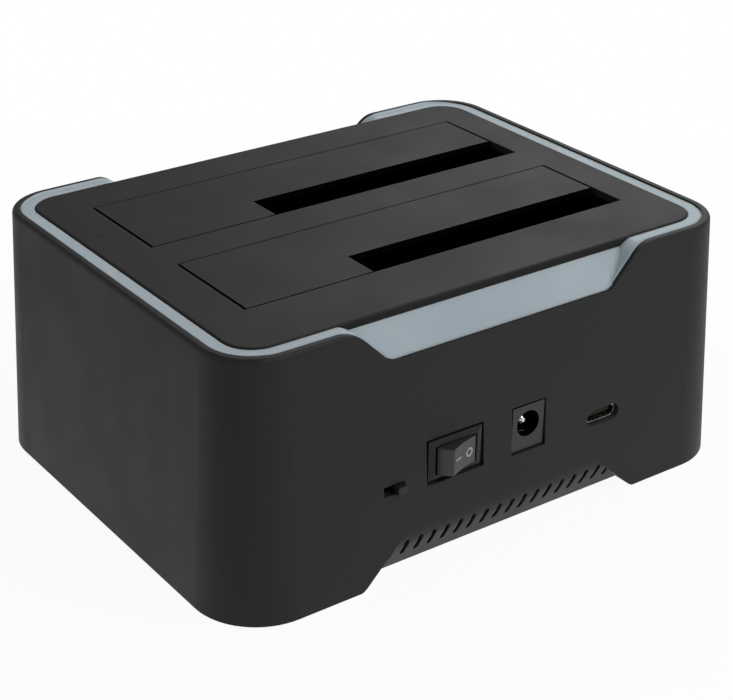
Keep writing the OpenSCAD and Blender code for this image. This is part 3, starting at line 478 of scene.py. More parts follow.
@dataclass(frozen=True)
class BoardLacquer(Finish):
    """Solder lacquer over copper tracks."""

    colour: Colour = (0.008, 0.055, 0.026)
    track: Colour = (0.018, 0.105, 0.045)
    glass: Colour = (0.16, 0.15, 0.07)
    edge: float = 0.1 * MM
    cloud_size: float = 9.0 * MM
    cover: tuple[float, float] = (0.42, 0.5)
    upright: tuple[float, float] = (0.4, 0.6)
    roughness: tuple[float, float] = (0.28, 0.4)
    show: float = 0.8
    copper: float = 0.035 * MM

    def draw(self, graph: Graph) -> None:
        """Draws tracks as rows of bricks, with the bare glass cloth at the board's edges."""
        soft = graph.soft_normal(self.edge)
        tracks = graph.node("ShaderNodeTexBrick", {"offset": 0.37, "squash": 1.0}, {
            "Vector": graph.place(), "Color1": (1, 1, 1, 1), "Color2": (0.8, 0.8, 0.8, 1),
            "Mortar": (0, 0, 0, 1), "Scale": 1.0, "Mortar Size": 0.16 * MM,
            "Mortar Smooth": 0.2, "Brick Width": 6.5 * MM, "Row Height": 0.9 * MM}, "Fac")
        cloud = graph.noise(self.cloud_size, 3.0)
        covered = graph.spread(cloud, 0.0, 1.0, *self.cover)
        raised = (1.0 - tracks) * covered
        upright = graph.node("ShaderNodeSeparateXYZ", {}, {
            0: graph.node("ShaderNodeNewGeometry", output="Normal")}, "Z")
        level = graph.node("ShaderNodeMath", {"operation": "ABSOLUTE"}, {0: upright})
        face = graph.mix(raised * self.show, self.colour, self.track)
        graph.surface(graph.shader(
            Base_Color=graph.mix(graph.spread(level, 1.0, 0.0, *self.upright), face, self.glass),
            Roughness=graph.spread(cloud, *self.roughness),
            Normal=graph.bump(raised, self.copper, soft),
        ))


@dataclass(frozen=True)
class Ink(Finish):
    """Printed or moulded-in mark, a little worn."""

    colour: Colour
    roughness: float = 0.45
    spot: float = 0.18 * MM
    thin_shade: float = 0.82
    smoother: float = 0.05
    rougher: float = 0.1

    def draw(self, graph: Graph) -> None:
        """Draws ink that is thinner in small spots."""
        thin = graph.noise(self.spot, 2.0)
        dull = shaded(self.colour, self.thin_shade)
        graph.surface(graph.shader(
            Base_Color=graph.mix(graph.spread(thin, 0.0, 1.0), dull, self.colour),
            Roughness=graph.spread(thin, self.roughness - self.smoother, self.roughness + self.rougher),
        ))


SHELL = MouldedPlastic("shell_plastic", (0.021, 0.021, 0.021), roughness=0.52, edge=0.35 * MM, gloss=0.17,
                       rim_edge=0.5 * MM)
# PANEL, FLAP and JACK paint shade on their side faces: the panel's cut sides lose their sheen and take a
# paler flat colour, and the flap's edges and the jack hole's walls go near black.
PANEL = MouldedPlastic("panel_plastic", (0.019, 0.019, 0.019), roughness=0.55, edge=0.3 * MM, gloss=0.15,
                       sides=1.4)
FLAP = MouldedPlastic("flap_plastic", (0.018, 0.018, 0.018), roughness=0.55, edge=0.2 * MM, gloss=0.15,
                      sides=0.1)
BASE = MouldedPlastic("base_plastic", (0.012, 0.012, 0.012), roughness=0.6)
# The wells are black plastic, made near black here, darker than the other plastics, so their colour also
# paints the shade down in the bays' slots.
WELL_PAINTED_SHADE = MouldedPlastic("well_plastic_painted_shade", (0.002, 0.002, 0.002), roughness=0.85, gloss=0.03)
SOCKET = MouldedPlastic("socket_plastic", (0.008, 0.008, 0.009), roughness=0.45, edge=0.12 * MM)
JACK = MouldedPlastic("jack_plastic", (0.030, 0.030, 0.031), roughness=0.42, edge=0.12 * MM, gloss=0.3,
                      face=Way.NEAR, sides=0.05)
SWITCH = MouldedPlastic("switch_plastic", (0.014, 0.014, 0.014), roughness=0.45, edge=0.15 * MM, gloss=0.2)
ROCKER = MouldedPlastic("rocker_plastic", (0.028, 0.028, 0.029), roughness=0.4, edge=0.18 * MM, gloss=0.45)
KNOB = MouldedPlastic("knob_plastic", (0.015, 0.015, 0.015), roughness=0.5, edge=0.12 * MM)
CHIP = MouldedPlastic("chip_resin", (0.014, 0.014, 0.015), roughness=0.55, grain=0.2 * MM, edge=0.08 * MM)
FERRITE = MouldedPlastic("ferrite", (0.05, 0.05, 0.052), roughness=0.7, grain=0.25 * MM, depth=0.03 * MM)
RUBBER = MouldedPlastic("foot_rubber", (0.016, 0.016, 0.016), roughness=0.85, grain=0.6 * MM, gloss=0.3)
SLEEVE = MouldedPlastic("lead_sleeve", (0.32, 0.02, 0.015), roughness=0.42, grain=0.9 * MM, edge=0.05 * MM)
LAMP = MouldedPlastic("lamp_resin", (0.78, 0.76, 0.66), roughness=0.35, mottle=0.05, wear=0.0)
MILK = MilkyPlastic("light_guide")
MILK_LIP = MilkyPlastic("light_guide_lip", soft=0.05 * MM, depth=0.0)
STEEL = Metal("bright_steel", (0.62, 0.62, 0.63), 0.26, Draw.ALONG_X)
SPRING = Metal("spring_steel", (0.56, 0.56, 0.58), 0.24, Draw.ALONG_X, 0.08 * MM)
NICKEL = Metal("nickel_plate", (0.72, 0.71, 0.69), 0.22, Draw.ALONG_Y, 0.1 * MM)
BLACKENED = Metal("blackened_steel", (0.05, 0.05, 0.052), 0.5, Draw.ALONG_X)
GOLD = Metal("gold_plate", (0.90, 0.66, 0.26), 0.22, Draw.ALL_ROUND, 0.08 * MM)
TIN = Metal("tin_plate", (0.70, 0.69, 0.66), 0.34, Draw.ALL_ROUND, 0.1 * MM)
CAN = Metal("drawn_can", (0.68, 0.68, 0.69), 0.24, Draw.ALL_ROUND, 0.1 * MM)
BOARD = BoardLacquer("board_lacquer")
WHITE_INK = Ink("white_ink", (0.46, 0.46, 0.455))
# Painted shade: near-black colour of the moulded-in bay numbers, standing in for the shade in their
# strokes.
NUMBER_PAINTED_SHADE = Ink("number_painted_shade", (0.004, 0.004, 0.004), 0.6)

NODE_FINISHES: dict[str, Finish] = {
    "outer_shell": SHELL,
    "light_ring": MILK,
    "top_panel": PANEL,
    "base_plate": BASE,
    "rubber_feet": RUBBER,
    "case_screws": STEEL,
    "drive_well_1": WELL_PAINTED_SHADE,
    "drive_well_2": WELL_PAINTED_SHADE,
    "well_screws": STEEL,
    "flap_1": FLAP,
    "flap_2": FLAP,
    "hinge_pin_1": STEEL,
    "hinge_pin_2": STEEL,
    "flap_spring_1": SPRING,
    "flap_spring_2": SPRING,
    "main_board": BOARD,
    "board_screws": STEEL,
    "sata_socket_1": SOCKET,
    "sata_socket_2": SOCKET,
    "sata_contacts_1": GOLD,
    "sata_contacts_2": GOLD,
    "dc_jack_body": JACK,
    "dc_jack_pin": NICKEL,
    "dc_jack_contact": NICKEL,
    "usb_c_shell": NICKEL,
    "usb_c_tongue": SOCKET,
    "usb_c_contacts": GOLD,
    "slide_switch_body": BLACKENED,
    "slide_switch_knob": KNOB,
    "power_switch_body": SWITCH,
    "power_rocker": ROCKER,
    "power_switch_terminals": TIN,
    "power_leads": SLEEVE,
    "bridge_chip": CHIP,
    "memory_chip": CHIP,
    "regulators": CHIP,
    "inductors": FERRITE,
    "capacitors": CAN,
    "crystal": CAN,
    "status_leds": LAMP,
}


def dress_nodes() -> None:
    """Gives every CAD node its finish, without touching its mesh."""
    for name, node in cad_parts.items():
        node.data.materials.clear()
        node.data.materials.append(NODE_FINISHES[name].material())
        LOG.info("dressed %s in %s", name, NODE_FINISHES[name].name)


def put(name: str, data: Any) -> bpy.types.Object:
    """Puts an object into the scene.

    Args:
        name: Name of the object.
        data: Its mesh, curve, lamp or camera.

    Returns:
        The object, at the origin.
    """
    made = bpy.data.objects.new(name, data)
    bpy.context.scene.collection.objects.link(made)
    return made


def new_piece(name: str, mesh: bpy.types.Mesh, finish: Finish) -> bpy.types.Object:
    """Puts a finished mesh into the scene.

    Args:
        name: Name of the piece.
        mesh: Its mesh, in place.
        finish: Its finish.

    Returns:
        The piece's object, at the origin.
    """
    mesh.materials.clear()
    mesh.materials.append(finish.material())
    return put(name, mesh)


def carry(piece: bpy.types.Object, body: Body) -> None:
    """Lets a piece ride on a body.

    Args:
        piece: The piece.
        body: The body that carries it.
    """
    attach(piece, body.value)
    LOG.info("added %s on %s", piece.name, body.value)


def shape(build: bmesh.types.BMesh, name: str) -> bpy.types.Mesh:
    """Turns built faces into a mesh whose faces point outwards.

    Args:
        build: The built faces, which are freed.
        name: Name of the mesh.

    Returns:
        The mesh.
    """
    bmesh.ops.recalc_face_normals(build, faces=build.faces)
    mesh = bpy.data.meshes.new(name)
    build.to_mesh(mesh)
    build.free()
    return mesh


def loft(rings: Sequence[Sequence[Vector]], name: str, closed: bool = False) -> bpy.types.Mesh:
    """Joins sections into a closed solid.

    Args:
        rings: Sections in metres, with as many points each.
        name: Name of the mesh.
        closed: Whether the last section joins the first.

    Returns:
        The mesh.
    """
    build = bmesh.new()
    rows = [[build.verts.new(point) for point in ring] for ring in rings]
    count = len(rows[0])
    for here, there in zip(rows, rows[1:] + rows[:1] if closed else rows[1:]):
        for k in range(count):
            build.faces.new((here[k], here[(k + 1) % count], there[(k + 1) % count], there[k]))
    if not closed:
        build.faces.new(rows[0])
        build.faces.new(rows[-1])
    return shape(build, name)


@dataclass
class NodeShape:
    """A Geometry Nodes tree with named inputs, and the way it becomes a plain mesh."""

    name: str
    inputs: dict[str, str]

    def start(self) -> tuple[Graph, Wire]:
        """Starts the tree.

        Returns:
            The graph, and the first output of its inputs.
        """
        tree = bpy.data.node_groups.new(self.name, "GeometryNodeTree")
        tree.interface.new_socket("Geometry", in_out="INPUT", socket_type="NodeSocketGeometry")
        for label, kind in self.inputs.items():
            tree.interface.new_socket(label, in_out="INPUT", socket_type=kind)
        tree.interface.new_socket("Geometry", in_out="OUTPUT", socket_type="NodeSocketGeometry")
        graph = Graph(tree)
        return graph, graph.node("NodeGroupInput", output="Geometry")

    def grow(self, graph: Graph, given: Wire) -> bpy.types.NodeTree:
        """Fills the tree.

        Args:
            graph: The tree's graph.
            given: First output of its inputs.

        Returns:
            The tree.
        """
        raise NotImplementedError

    def end(self, graph: Graph, geometry: Wire, material: Wire) -> bpy.types.NodeTree:
        """Ends the tree in real faces with a material.

        Args:
            graph: The tree's graph.
            geometry: What it has made.
            material: The material's wire.

        Returns:
            The tree.
        """
        real = graph.node("GeometryNodeRealizeInstances", {}, {"Geometry": geometry})
        dressed = graph.node("GeometryNodeSetMaterial", {}, {"Geometry": real, "Material": material})
        graph.node("NodeGroupOutput", {}, {"Geometry": dressed})
        return graph.tree

    def apply(self, data: Any, values: dict[str, Any], name: str) -> bpy.types.Mesh:
        """Runs the tree, built at its first use, and keeps the result as a plain mesh.

        Args:
            data: The curve or the mesh that the tree works on.
            values: Values of its inputs by name.
            name: Name of the mesh.

        Returns:
            The mesh.
        """
        source = put(name + "_source", data)
        found = bpy.data.node_groups.get(self.name)
        tree = self.grow(*self.start()) if found is None else found
        modifier = source.modifiers.new(self.name, "NODES")
        modifier.node_group = tree
        for item in tree.interface.items_tree:
            if item.in_out == "INPUT" and item.name in values:
                modifier[item.identifier] = values[item.name]
        graph = bpy.context.evaluated_depsgraph_get()
        mesh = bpy.data.meshes.new_from_object(source.evaluated_get(graph), depsgraph=graph)
        source.modifiers.remove(modifier)
        bpy.data.objects.remove(source)
        mesh.name = name
        return mesh


@dataclass
class WireTube(NodeShape):
    """Round wire along a curve."""

    name: str = "wire_tube"
    inputs: dict[str, str] = field(default_factory=lambda: {
        "Radius": "NodeSocketFloat", "Sides": "NodeSocketInt", "Material": "NodeSocketMaterial"})
    sides: int = 12

    def grow(self, graph: Graph, given: Wire) -> bpy.types.NodeTree:
        """Fills the tree with a ring that is swept along the curve."""
        ring = graph.node("GeometryNodeCurvePrimitiveCircle", {"mode": "RADIUS"}, {
            "Resolution": given.out("Sides"), "Radius": given.out("Radius")}, "Curve")
        tube = graph.node("GeometryNodeCurveToMesh", {}, {
            "Curve": given, "Profile Curve": ring, "Fill Caps": True})
        smooth = graph.node("GeometryNodeSetShadeSmooth", {}, {"Geometry": tube})
        return self.end(graph, smooth, given.out("Material"))

    def along(self, points: Sequence[Point], radius: float, finish: Finish, name: str) -> bpy.types.Mesh:
        """Lays wire along points.

        Args:
            points: The points of its middle line.
            radius: Radius of the wire.
            finish: Its finish.
            name: Name of the mesh.

        Returns:
            The mesh.
        """
        curve = bpy.data.curves.new(name, "CURVE")
        curve.dimensions = "3D"
        line = curve.splines.new("POLY")
        line.points.add(len(points) - 1)
        for point, place in zip(line.points, points):
            point.co = (*place, 1.0)
        return self.apply(curve, {
            "Radius": radius, "Sides": self.sides, "Material": finish.material()}, name)


@dataclass
class RowOf(NodeShape):
    """Copies of a shape in rows."""

    name: str = "row_of"
    inputs: dict[str, str] = field(default_factory=lambda: {
        "Count": "NodeSocketInt", "Step": "NodeSocketVector", "Rows": "NodeSocketInt",
        "Row Step": "NodeSocketVector", "Material": "NodeSocketMaterial"})

    def grow(self, graph: Graph, given: Wire) -> bpy.types.NodeTree:
        """Fills the tree with a line of copies, and then a line of such lines."""
        copies = given
        for count, step in (("Count", "Step"), ("Rows", "Row Step")):
            line = graph.node("GeometryNodeMeshLine", {"mode": "OFFSET"}, {
                "Count": given.out(count), "Offset": given.out(step)})
            copies = graph.node("GeometryNodeInstanceOnPoints", {}, {"Points": line, "Instance": copies})
        return self.end(graph, copies, given.out("Material"))

    def repeat(self, one: bpy.types.Mesh, count: int, step: Point, rows: int, row_step: Point,
               finish: Finish, name: str) -> bpy.types.Mesh:
        """Repeats a shape.

        Args:
            one: The shape, where its first copy stands.
            count: Copies in a row.
            step: From one copy to the next.
            rows: Number of rows.
            row_step: From one row to the next.
            finish: Finish of the copies.
            name: Name of the mesh.

        Returns:
            The mesh of all copies.
        """
        return self.apply(one, {
            "Count": count, "Step": step, "Rows": rows, "Row Step": row_step,
            "Material": finish.material()}, name)


@dataclass
class FlapSpring:
    """Torsion spring round a flap's hinge pin: a leg under the flap, a coil, and a leg down the well."""

    bay: int
    axis_y: float
    start_x: float = -31.2
    axis_z: float = 56.6
    wire_d: float = 0.5
    coil_r: float = 1.55
    turns: float = 4.25
    pitch: float = 1.05
    leg: float = 9.0
    lift: float = 2.4
    rings: int = 32
    follow: float = 0.75
    overlap: float = 0.25
    slim: float = 0.97

    def coil(self, first: float, last: float) -> list[Point]:
        """Gives the points along part of the coil, from the axis.

        Args:
            first: Turns from the coil's start to the first point.
            last: Turns from the coil's start to the last point.

        Returns:
            The points in millimetres.
        """
        points = []
        for i in range(round((last - first) * self.rings) + 1):
            turn = first + i / self.rings
            angle = math.radians(90.0 - 360.0 * turn)
            points.append((self.pitch * turn, self.coil_r * math.cos(angle),
                           self.coil_r * math.sin(angle)))
        return points

    def wire(self, points: Sequence[Point], thick: float, name: str) -> bpy.types.Object:
        """Makes a piece of the wire.

        Args:
            points: Points along it in millimetres, from the axis.
            thick: Its thickness in millimetres.
            name: Name of the piece.

        Returns:
            The piece's object.
        """
        placed = [((self.start_x + x) * MM, (self.axis_y + y) * MM, (self.axis_z + z) * MM)
                  for x, y, z in points]
        return new_piece(name, WireTube().along(placed, thick / 2 * MM, SPRING, name), SPRING)

    def build(self) -> None:
        """Makes the coil in place of its CAD node, and the leg and first turn that go with the flap."""
        still = self.coil(self.follow - self.overlap, self.turns)
        piece = self.wire([*still, (still[-1][0], still[-1][1], -self.leg)], self.wire_d,
                          f"flap_spring_wire_{self.bay}")
        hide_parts(f"flap_spring_{self.bay}")
        carry(piece, Body.CASE)
        moving = [(0.0, -self.leg, self.lift), *self.coil(0.0, self.follow)]
        carry(self.wire(moving, self.slim * self.wire_d, f"flap_spring_leg_{self.bay}"),
              Body[f"FLAP_{self.bay}"])


@dataclass
class GuideLip:
    """Light guide's lips over the shell's wall beside the notches, and its windows' round ends."""

    half_l: float = 65.8
    half_w: float = 50.7
    corner_r: float = 10.6
    top: float = 61.0
    flare: float = 3.3 / 61.0
    notch_mouth: float = 77.6
    notch_floor: float = 60.4
    notch_depth: float = 8.7
    notch_round: float = 8.0
    notch_foot: float = 2.8
    window_top: tuple[float, float] = (-47.43, 59.0)
    window_foot: tuple[float, float] = (-52.72, 52.3)
    lap: float = 0.15
    slope_lap: float = 1.25
    sink: float = 0.5
    corner_turn: float = 70.0
    round_end: float = 3.2
    least_round: float = 0.02
    bury: float = 0.05
    steps: int = 12
    arc_steps: int = 8

    def notch_slope(self) -> list[tuple[float, float, float]]:
        """Gives the notch's right side from floor to rim, as X, height above the rim and steepness."""
        slope = math.atan2(self.notch_depth, (self.notch_mouth - self.notch_floor) / 2)
        wider = self.notch_round * math.tan(slope / 2)
        narrower = self.notch_foot * math.tan(slope / 2)
        turns = [slope * i / self.steps for i in range(self.steps + 1)]
        foot = [(self.notch_floor / 2 - narrower + self.notch_foot * math.sin(a),
                 self.notch_foot * (1.0 - math.cos(a)) - self.notch_depth, a) for a in turns]
        rim = [(self.notch_mouth / 2 + wider - self.notch_round * math.sin(a),
                self.notch_round * (math.cos(a) - 1.0), a) for a in reversed(turns)]
        return foot + rim

    def lip_rings(self) -> list[list[Vector]]:
        """Gives the lip's sections along the wall's inner edge, from the notch's floor to the corner."""
        line = [(Vector((x, self.flare * z - self.half_w, self.top + z)), Vector((0.0, -1.0, 0.0)),
                 Vector((-math.sin(a), 0.0, math.cos(a)))) for x, z, a in self.notch_slope()]
        middle = Vector((self.half_l - self.corner_r, self.corner_r - self.half_w, self.top))
        for i in range(self.steps + 1):
            turn = math.radians(self.corner_turn * i / self.steps - 90.0)
            out = Vector((math.cos(turn), math.sin(turn), 0.0))
            line.append((middle + out * self.corner_r, out, Vector((0.0, 0.0, 1.0))))
        rings = []
        for place, out, up in line:
            lap = self.lap + (self.slope_lap - self.lap) * abs(up.x)
            low = self.sink * (1.0 - out.y ** 2)
            rings.append([place + out * u + up * (w - low) for u, w in self.section(lap)])
        return rings

    @staticmethod
    def section(lap: float) -> list[tuple[float, float]]:
        """Gives the lip's section, as distance outwards from the wall's edge and upwards from its top.

        Args:
            lap: Width that lies over the wall.

        Returns:
            The points in order.
        """
        return [(-0.9, -0.37), (-0.5, -0.17), (-0.2, 0.0), (0.15 * lap, 0.04), (0.55 * lap, 0.06),
                (0.85 * lap, 0.05), (lap, 0.01), (lap, -0.06), (0.0, -0.06), (0.0, -0.45), (-0.9, -0.45)]

    def end_rings(self) -> list[list[Vector]]:
        """Gives level sections of the hollow rounding between the window and the notch's right side."""
        (top_y, top_z), (foot_y, foot_z) = self.window_top, self.window_foot
        rings = []
        for x, drop, _ in self.notch_slope():
            z = self.top + drop
            share = (z - foot_z) / (top_z - foot_z)
            if not 0.0 < share < 1.0:
                continue
            y = foot_y + (top_y - foot_y) * share
            room = y + self.half_w - self.flare * drop + self.slope_lap - self.bury
            full = self.round_end * math.sqrt(share) * (1.0 - share ** 6) + self.least_round
            reach = min(full, room)
            if reach <= 0.0:
                continue
            turns = [i / self.arc_steps for i in range(self.arc_steps + 1)]
            arc = [(x - reach * t ** 2, y - reach * (1.0 - t) ** 2) for t in turns]
            flat = [(x + self.bury, y - reach), *arc, (x - reach, y + self.bury),
                    (x + 2 * self.bury, y + 2 * self.bury)]
            rings.append([Vector((*point, z)) for point in flat])
        return rings

    def build(self) -> None:
        """Makes a lip and a rounding at the near notch's right side, and their mirror images."""
        for kind, rings in (("lip", self.lip_rings()), ("round_end", self.end_rings())):
            for side, along in (("right", 1.0), ("left", -1.0)):
                for row, across in (("near", 1.0), ("far", -1.0)):
                    mirror = Vector((along, across, 1.0))
                    name = f"light_guide_{kind}_{row}_{side}"
                    mesh = loft([[point * mirror * MM for point in ring] for ring in rings], name)
                    mesh.shade_smooth()
                    carry(new_piece(name, mesh, MILK_LIP), Body.CASE)


@dataclass
class RockerMarks:
    """White ring and stroke on the rocker's hollow face."""

    pivot: Point = (-13.7, -52.759, 25.9)
    tilt: float = 18.0
    face_l: float = 8.0
    end_r: float = 5.45
    hollow_r: float = 30.0
    ink: float = 0.04
    sunk: float = 0.02
    ring_at: tuple[float, float] = (2.0, -0.1)
    ring_d: float = 2.15
    ring_w: float = 0.36
    stroke_at: tuple[float, float] = (-2.1, 0.05)
    stroke_l: float = 2.0
    stroke_w: float = 0.36
    ring_steps: int = 40
    stroke_steps: int = 6

    def on_face(self, along: float, up: float, out: float) -> Vector:
        """Finds a point over the rocker's face.

        Args:
            along: Distance from the middle of the face along its length.
            up: Distance upwards from its middle.
            out: Distance outside it.

        Returns:
            The point in metres.
        """
        half = self.face_l / 2
        face = math.sqrt(self.end_r ** 2 - half ** 2)
        centre = -face - math.sqrt(self.hollow_r ** 2 - half ** 2)
        away = math.sqrt((self.hollow_r - out) ** 2 - along ** 2)
        turned = Matrix.Rotation(math.radians(self.tilt), 3, "Z") @ Vector((along, centre + away, up))
        return (turned + Vector(self.pivot)) * MM

    def section(self, first: tuple[float, float], second: tuple[float, float]) -> list[Vector]:
        """Gives the ink's section between two points on the face.

        Args:
            first: One point, along and up.
            second: The other point.

        Returns:
            Its corners in metres.
        """
        corners = ((first, -self.sunk), (second, -self.sunk), (second, self.ink), (first, self.ink))
        return [self.on_face(*flat, out) for flat, out in corners]

    def build(self) -> None:
        """Makes both marks."""
        turns = [2 * math.pi * i / self.ring_steps for i in range(self.ring_steps)]
        radii = (self.ring_d / 2 - self.ring_w, self.ring_d / 2)
        ring = [[(self.ring_at[0] + r * math.cos(a), self.ring_at[1] + r * math.sin(a)) for r in radii]
                for a in turns]
        left = self.stroke_at[0] - self.stroke_l / 2
        low = self.stroke_at[1] - self.stroke_w / 2
        high = self.stroke_at[1] + self.stroke_w / 2
        along = [left + self.stroke_l * i / self.stroke_steps for i in range(self.stroke_steps + 1)]
        stroke = [((x, low), (x, high)) for x in along]
        for name, band, closed in (("rocker_ring_mark", ring, True),
                                   ("rocker_stroke_mark", stroke, False)):
            mesh = loft([self.section(*pair) for pair in band], name, closed)
            carry(new_piece(name, mesh, WHITE_INK), Body.ROCKER)


@dataclass
class BayNumber:
    """Plain number moulded into the panel beside a bay, whose near-black colour is painted shade that
    stands in for the shade in its moulded strokes.
    """

    number: int
    middle: tuple[float, float]
    tall: float = 3.4
    top: float = 61.0
    proud: float = 0.03

    def build(self) -> None:
        """Makes the number, read from the left end of the case."""
        name = f"bay_number_{self.number}"
        text = bpy.data.curves.new(name, "FONT")
        text.body = str(self.number)
        text.align_x = text.align_y = "CENTER"
        text.size = self.tall * MM
        text.extrude = self.proud * MM
        source = put(name + "_text", text)
        graph = bpy.context.evaluated_depsgraph_get()
        mesh = bpy.data.meshes.new_from_object(source.evaluated_get(graph), depsgraph=graph)
        bpy.data.objects.remove(source)
        place = Vector((self.middle[0], self.middle[1], self.top - self.proud)) * MM
        mesh.transform(Matrix.Translation(place) @ Matrix.Rotation(math.radians(-90.0), 4, "Z"))
        # Painted shade: the number's near-black colour stands in for the shade in its moulded strokes.
        carry(new_piece(name, mesh, NUMBER_PAINTED_SHADE), Body.CASE)


@dataclass
class BoardParts:
    """Small repeated parts on the board: chip passives, and the legs of the memory chip."""

    top: float = 20.4
    passive: Point = (1.6, 0.8, 0.55)
    cap: float = 0.36
    passive_at: tuple[float, float] = (-14.0, 10.0)
    passive_step: Point = (0.0, 1.7, 0.0)
    passive_count: int = 7
    passive_rows: int = 2
    passive_row_step: Point = (-18.0, 0.0, 0.0)
    memory_at: tuple[float, float] = (-36.0, 16.0)
    memory_w: float = 4.0
    leg: Point = (0.42, 1.1, 0.2)
    leg_pitch: float = 1.27
    leg_bend: float = 0.35
    leg_rise: float = 0.8
    leg_round: float = 0.02
    legs: int = 4
    inset: float = 0.03

    @staticmethod
    def blocks(boxes: Sequence[tuple[Point, Point]], name: str, round_by: float) -> bpy.types.Mesh:
        """Makes blocks with rounded edges.

        Args:
            boxes: Lowest and highest corner of each block in millimetres.
            name: Name of the mesh.
            round_by: Rounding of their edges in millimetres.

        Returns:
            The mesh.
        """
        build = bmesh.new()
        for low, high in boxes:
            size = Vector(high) - Vector(low)
            middle = (Vector(high) + Vector(low)) / 2
            place = Matrix.Translation(middle * MM) @ Matrix.Diagonal((*(size * MM), 1.0))
            bmesh.ops.create_cube(build, size=1.0, matrix=place)
        bmesh.ops.bevel(build, geom=list(build.edges), offset=round_by * MM, segments=1,
                        affect="EDGES", profile=0.5)
        return shape(build, name)

    def passives(self) -> None:
        """Makes the rows of passives, their bodies apart from their tinned ends."""
        x, y = self.passive_at
        half_l, half_w, tall = self.passive[0] / 2, self.passive[1] / 2, self.passive[2]
        low, high = self.top, self.top + tall
        body = [((x - half_l + self.cap, y - half_w + self.inset, low),
                 (x + half_l - self.cap, y + half_w - self.inset, high - self.inset))]
        ends = [((x - half_l, y - half_w, low), (x - half_l + self.cap, y + half_w, high)),
                ((x + half_l - self.cap, y - half_w, low), (x + half_l, y + half_w, high))]
        step = tuple(v * MM for v in self.passive_step)
        row_step = tuple(v * MM for v in self.passive_row_step)
        for name, boxes, finish, slot in (("passive_bodies", body, CHIP, Slot.CHIP),
                                          ("passive_ends", ends, TIN, Slot.NICKEL)):
            one = self.blocks(boxes, name + "_one", self.inset)
            mesh = RowOf().repeat(one, self.passive_count, step, self.passive_rows, row_step, finish, name)
            carry(new_piece(name, mesh, finish), Body.CASE)

    def memory_legs(self) -> None:
        """Makes the memory chip's bent legs."""
        x, y = self.memory_at
        near = y - self.memory_w / 2
        x0 = x - (self.legs - 1) / 2 * self.leg_pitch
        half, reach, thick = self.leg[0] / 2, self.leg[1], self.leg[2]
        pair = []
        for edge, way in ((near, -1.0), (near + self.memory_w, 1.0)):
            foot = sorted((edge + way * self.leg_bend, edge + way * reach))
            riser = sorted((edge, edge + way * self.leg_bend))
            pair.append(((x0 - half, foot[0], self.top), (x0 + half, foot[1], self.top + thick)))
            pair.append(((x0 - half, riser[0], self.top), (x0 + half, riser[1], self.top + self.leg_rise)))
        one = self.blocks(pair, "memory_legs_one", self.leg_round)
        step = (self.leg_pitch * MM, 0.0, 0.0)
        mesh = RowOf().repeat(one, self.legs, step, 1, (0.0, 0.0, 0.0), TIN, "memory_legs")
        carry(new_piece("memory_legs", mesh, TIN), Body.CASE)

    def build(self) -> None:
        """Makes all of them."""
        self.passives()
        self.memory_legs()


@dataclass
class PhotoCamera:
    """Camera at the photograph's viewing angle."""

    eye: Point = (-224.994, -313.48, 220.43)
    aim: Point = (-2.48, -4.093, 27.402)
    roll: float = 0.4135
    lens: float = 88.248
    shift: tuple[float, float] = (0.0066, -0.0044)
    sensor: float = 36.0
    clip: tuple[float, float] = (0.01, 20.0)

    def build(self) -> None:
        """Makes the camera and looks through it."""
        eye = Vector(self.eye) * MM
        back = (eye - Vector(self.aim) * MM).normalized()
        level = Vector((0.0, 0.0, 1.0)).cross(back).normalized()
        upright = back.cross(level)
        turn = math.radians(self.roll)
        right = level * math.cos(turn) + upright * math.sin(turn)
        up = upright * math.cos(turn) - level * math.sin(turn)
        data = bpy.data.cameras.new("photo_camera")
        data.sensor_fit = "HORIZONTAL"
        data.sensor_width = self.sensor
        data.lens = self.lens
        data.shift_x, data.shift_y = self.shift
        data.clip_start, data.clip_end = self.clip
        camera = put("photo_camera", data)
        rows = Matrix((right, up, back)).transposed().to_4x4()
        camera.matrix_world = Matrix.Translation(eye) @ rows
        bpy.context.scene.camera = camera


@dataclass(frozen=True)
class Softbox:
    """A large soft lamp."""

    name: str
    at: Point
    power: float
    aim: Point = (0.0, 0.0, 0.03)
    size: tuple[float, float] = (0.6, 0.5)

    def build(self) -> None:
        """Hangs the lamp and turns it to what it lights."""
        data = bpy.data.lights.new(self.name, "AREA")
        data.shape = "RECTANGLE"
        data.size, data.size_y = self.size
        data.energy = self.power
        lamp = put(self.name, data)
        lamp.location = self.at
        lamp.rotation_euler = (Vector(self.aim) - Vector(self.at)).to_track_quat("-Z", "Y").to_euler()


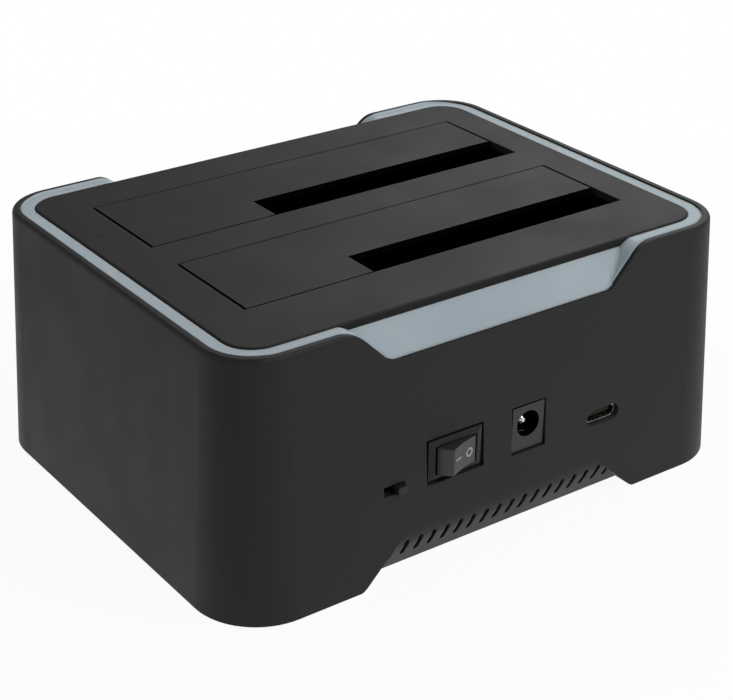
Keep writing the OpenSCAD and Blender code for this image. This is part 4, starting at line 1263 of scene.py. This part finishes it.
@dataclass
class Studio:
    """Pale floor, white surroundings and soft lamps."""

    floor_half: float = 0.6
    floor_gap: float = 0.02 * MM
    floor_colour: Colour = (0.86, 0.86, 0.86)
    tooth: float = 2.0 * MM
    tooth_shade: float = 0.99
    floor_glow: float = 0.94
    floor_fade: tuple[float, float] = (0.09, 0.25)
    floor_far: float = 0.2
    pool: tuple[float, float] = (0.08, 0.28)
    sky: float = 0.25
    backdrop: tuple[float, float] = (0.02, 0.2)
    lamps: tuple[Softbox, ...] = (
        Softbox("top_softbox", (0.60, 0.40, 0.55), 2.7),
        Softbox("left_softbox", (-0.85, 0.45, 0.35), 0.6),
        Softbox("right_softbox", (0.35, -0.75, 0.75), 5.8),
    )

    @staticmethod
    def seen(graph: Graph, eye: Number, mirror: Number) -> Wire:
        """Tells apart what is seen from what only lights the object.

        Args:
            graph: The graph of the floor or the world.
            eye: Share of white for what the camera sees.
            mirror: Share of white for what a gloss or a glass sees.

        Returns:
            The share of white, which is 0 for light on the object.
        """
        path = graph.node("ShaderNodeLightPath", output="Is Camera Ray")
        both = path * eye + (path.out("Is Glossy Ray") + path.out("Is Transmission Ray")) * mirror
        return graph.node("ShaderNodeMath", {"operation": "MINIMUM"}, {0: both, 1: 1.0})

    def floor(self) -> None:
        """Lays the floor, which looks nearly white and keeps the shadow."""
        build = bmesh.new()
        bmesh.ops.create_grid(build, x_segments=1, y_segments=1, size=self.floor_half,
                              matrix=Matrix.Translation((0.0, 0.0, -self.floor_gap)))
        mesh = shape(build, "floor")
        material = bpy.data.materials.new("floor_paper")
        graph = empty_graph(material)
        tooth = graph.noise(self.tooth, 2.0)
        hollow = shaded(self.floor_colour, self.tooth_shade)
        paper = graph.mix(graph.spread(tooth, 0.0, 1.0), hollow, self.floor_colour)
        lit = graph.node("ShaderNodeBsdfDiffuse", {}, {"Color": paper})
        glow = graph.node("ShaderNodeEmission", {}, {"Color": (1, 1, 1, 1), "Strength": 1.0})
        away = graph.node("ShaderNodeVectorMath", {"operation": "LENGTH"}, {0: graph.place()}, "Value")
        share = self.seen(graph, graph.spread(away, self.floor_glow, 1.0, *self.floor_fade),
                          graph.spread(away, 1.0, self.floor_far, *self.pool))
        graph.surface(lit, share, glow)
        mesh.materials.append(material)
        put("floor", mesh)

    def world(self) -> None:
        """Makes the surroundings: white to the eye, and a soft fill on the object."""
        world = bpy.data.worlds.new("studio")
        bpy.context.scene.world = world
        graph = empty_graph(world)
        way = graph.node("ShaderNodeTexCoord", output="Generated")
        rise = graph.node("ShaderNodeSeparateXYZ", {}, {0: way}, "Z")
        white = self.seen(graph, 1.0, graph.spread(rise, 1.0, 0.0, *self.backdrop))
        strength = self.sky + (1.0 - self.sky) * white
        light = graph.node("ShaderNodeBackground", {}, {"Color": (1, 1, 1, 1), "Strength": strength})
        graph.node("ShaderNodeOutputWorld", {}, {"Surface": light})

    def build(self) -> None:
        """Makes the studio."""
        self.floor()
        self.world()
        for lamp in self.lamps:
            lamp.build()
        bpy.context.scene.view_settings.view_transform = "Standard"


def main() -> None:
    """Dresses the frame, adds the small pieces, and sets up camera and studio."""
    logging.basicConfig(level=logging.INFO, format="%(name)s: %(message)s")
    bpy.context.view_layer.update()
    PhotoCamera().build()
    dress_nodes()
    for bay, hinge_y in HINGE_Y.items():
        FlapSpring(bay, hinge_y).build()
    GuideLip().build()
    RockerMarks().build()
    for bay, middle in NUMBER_AT.items():
        BayNumber(bay, middle).build()
    BoardParts().build()
    Studio().build()


if __name__ == "__main__":
    main()
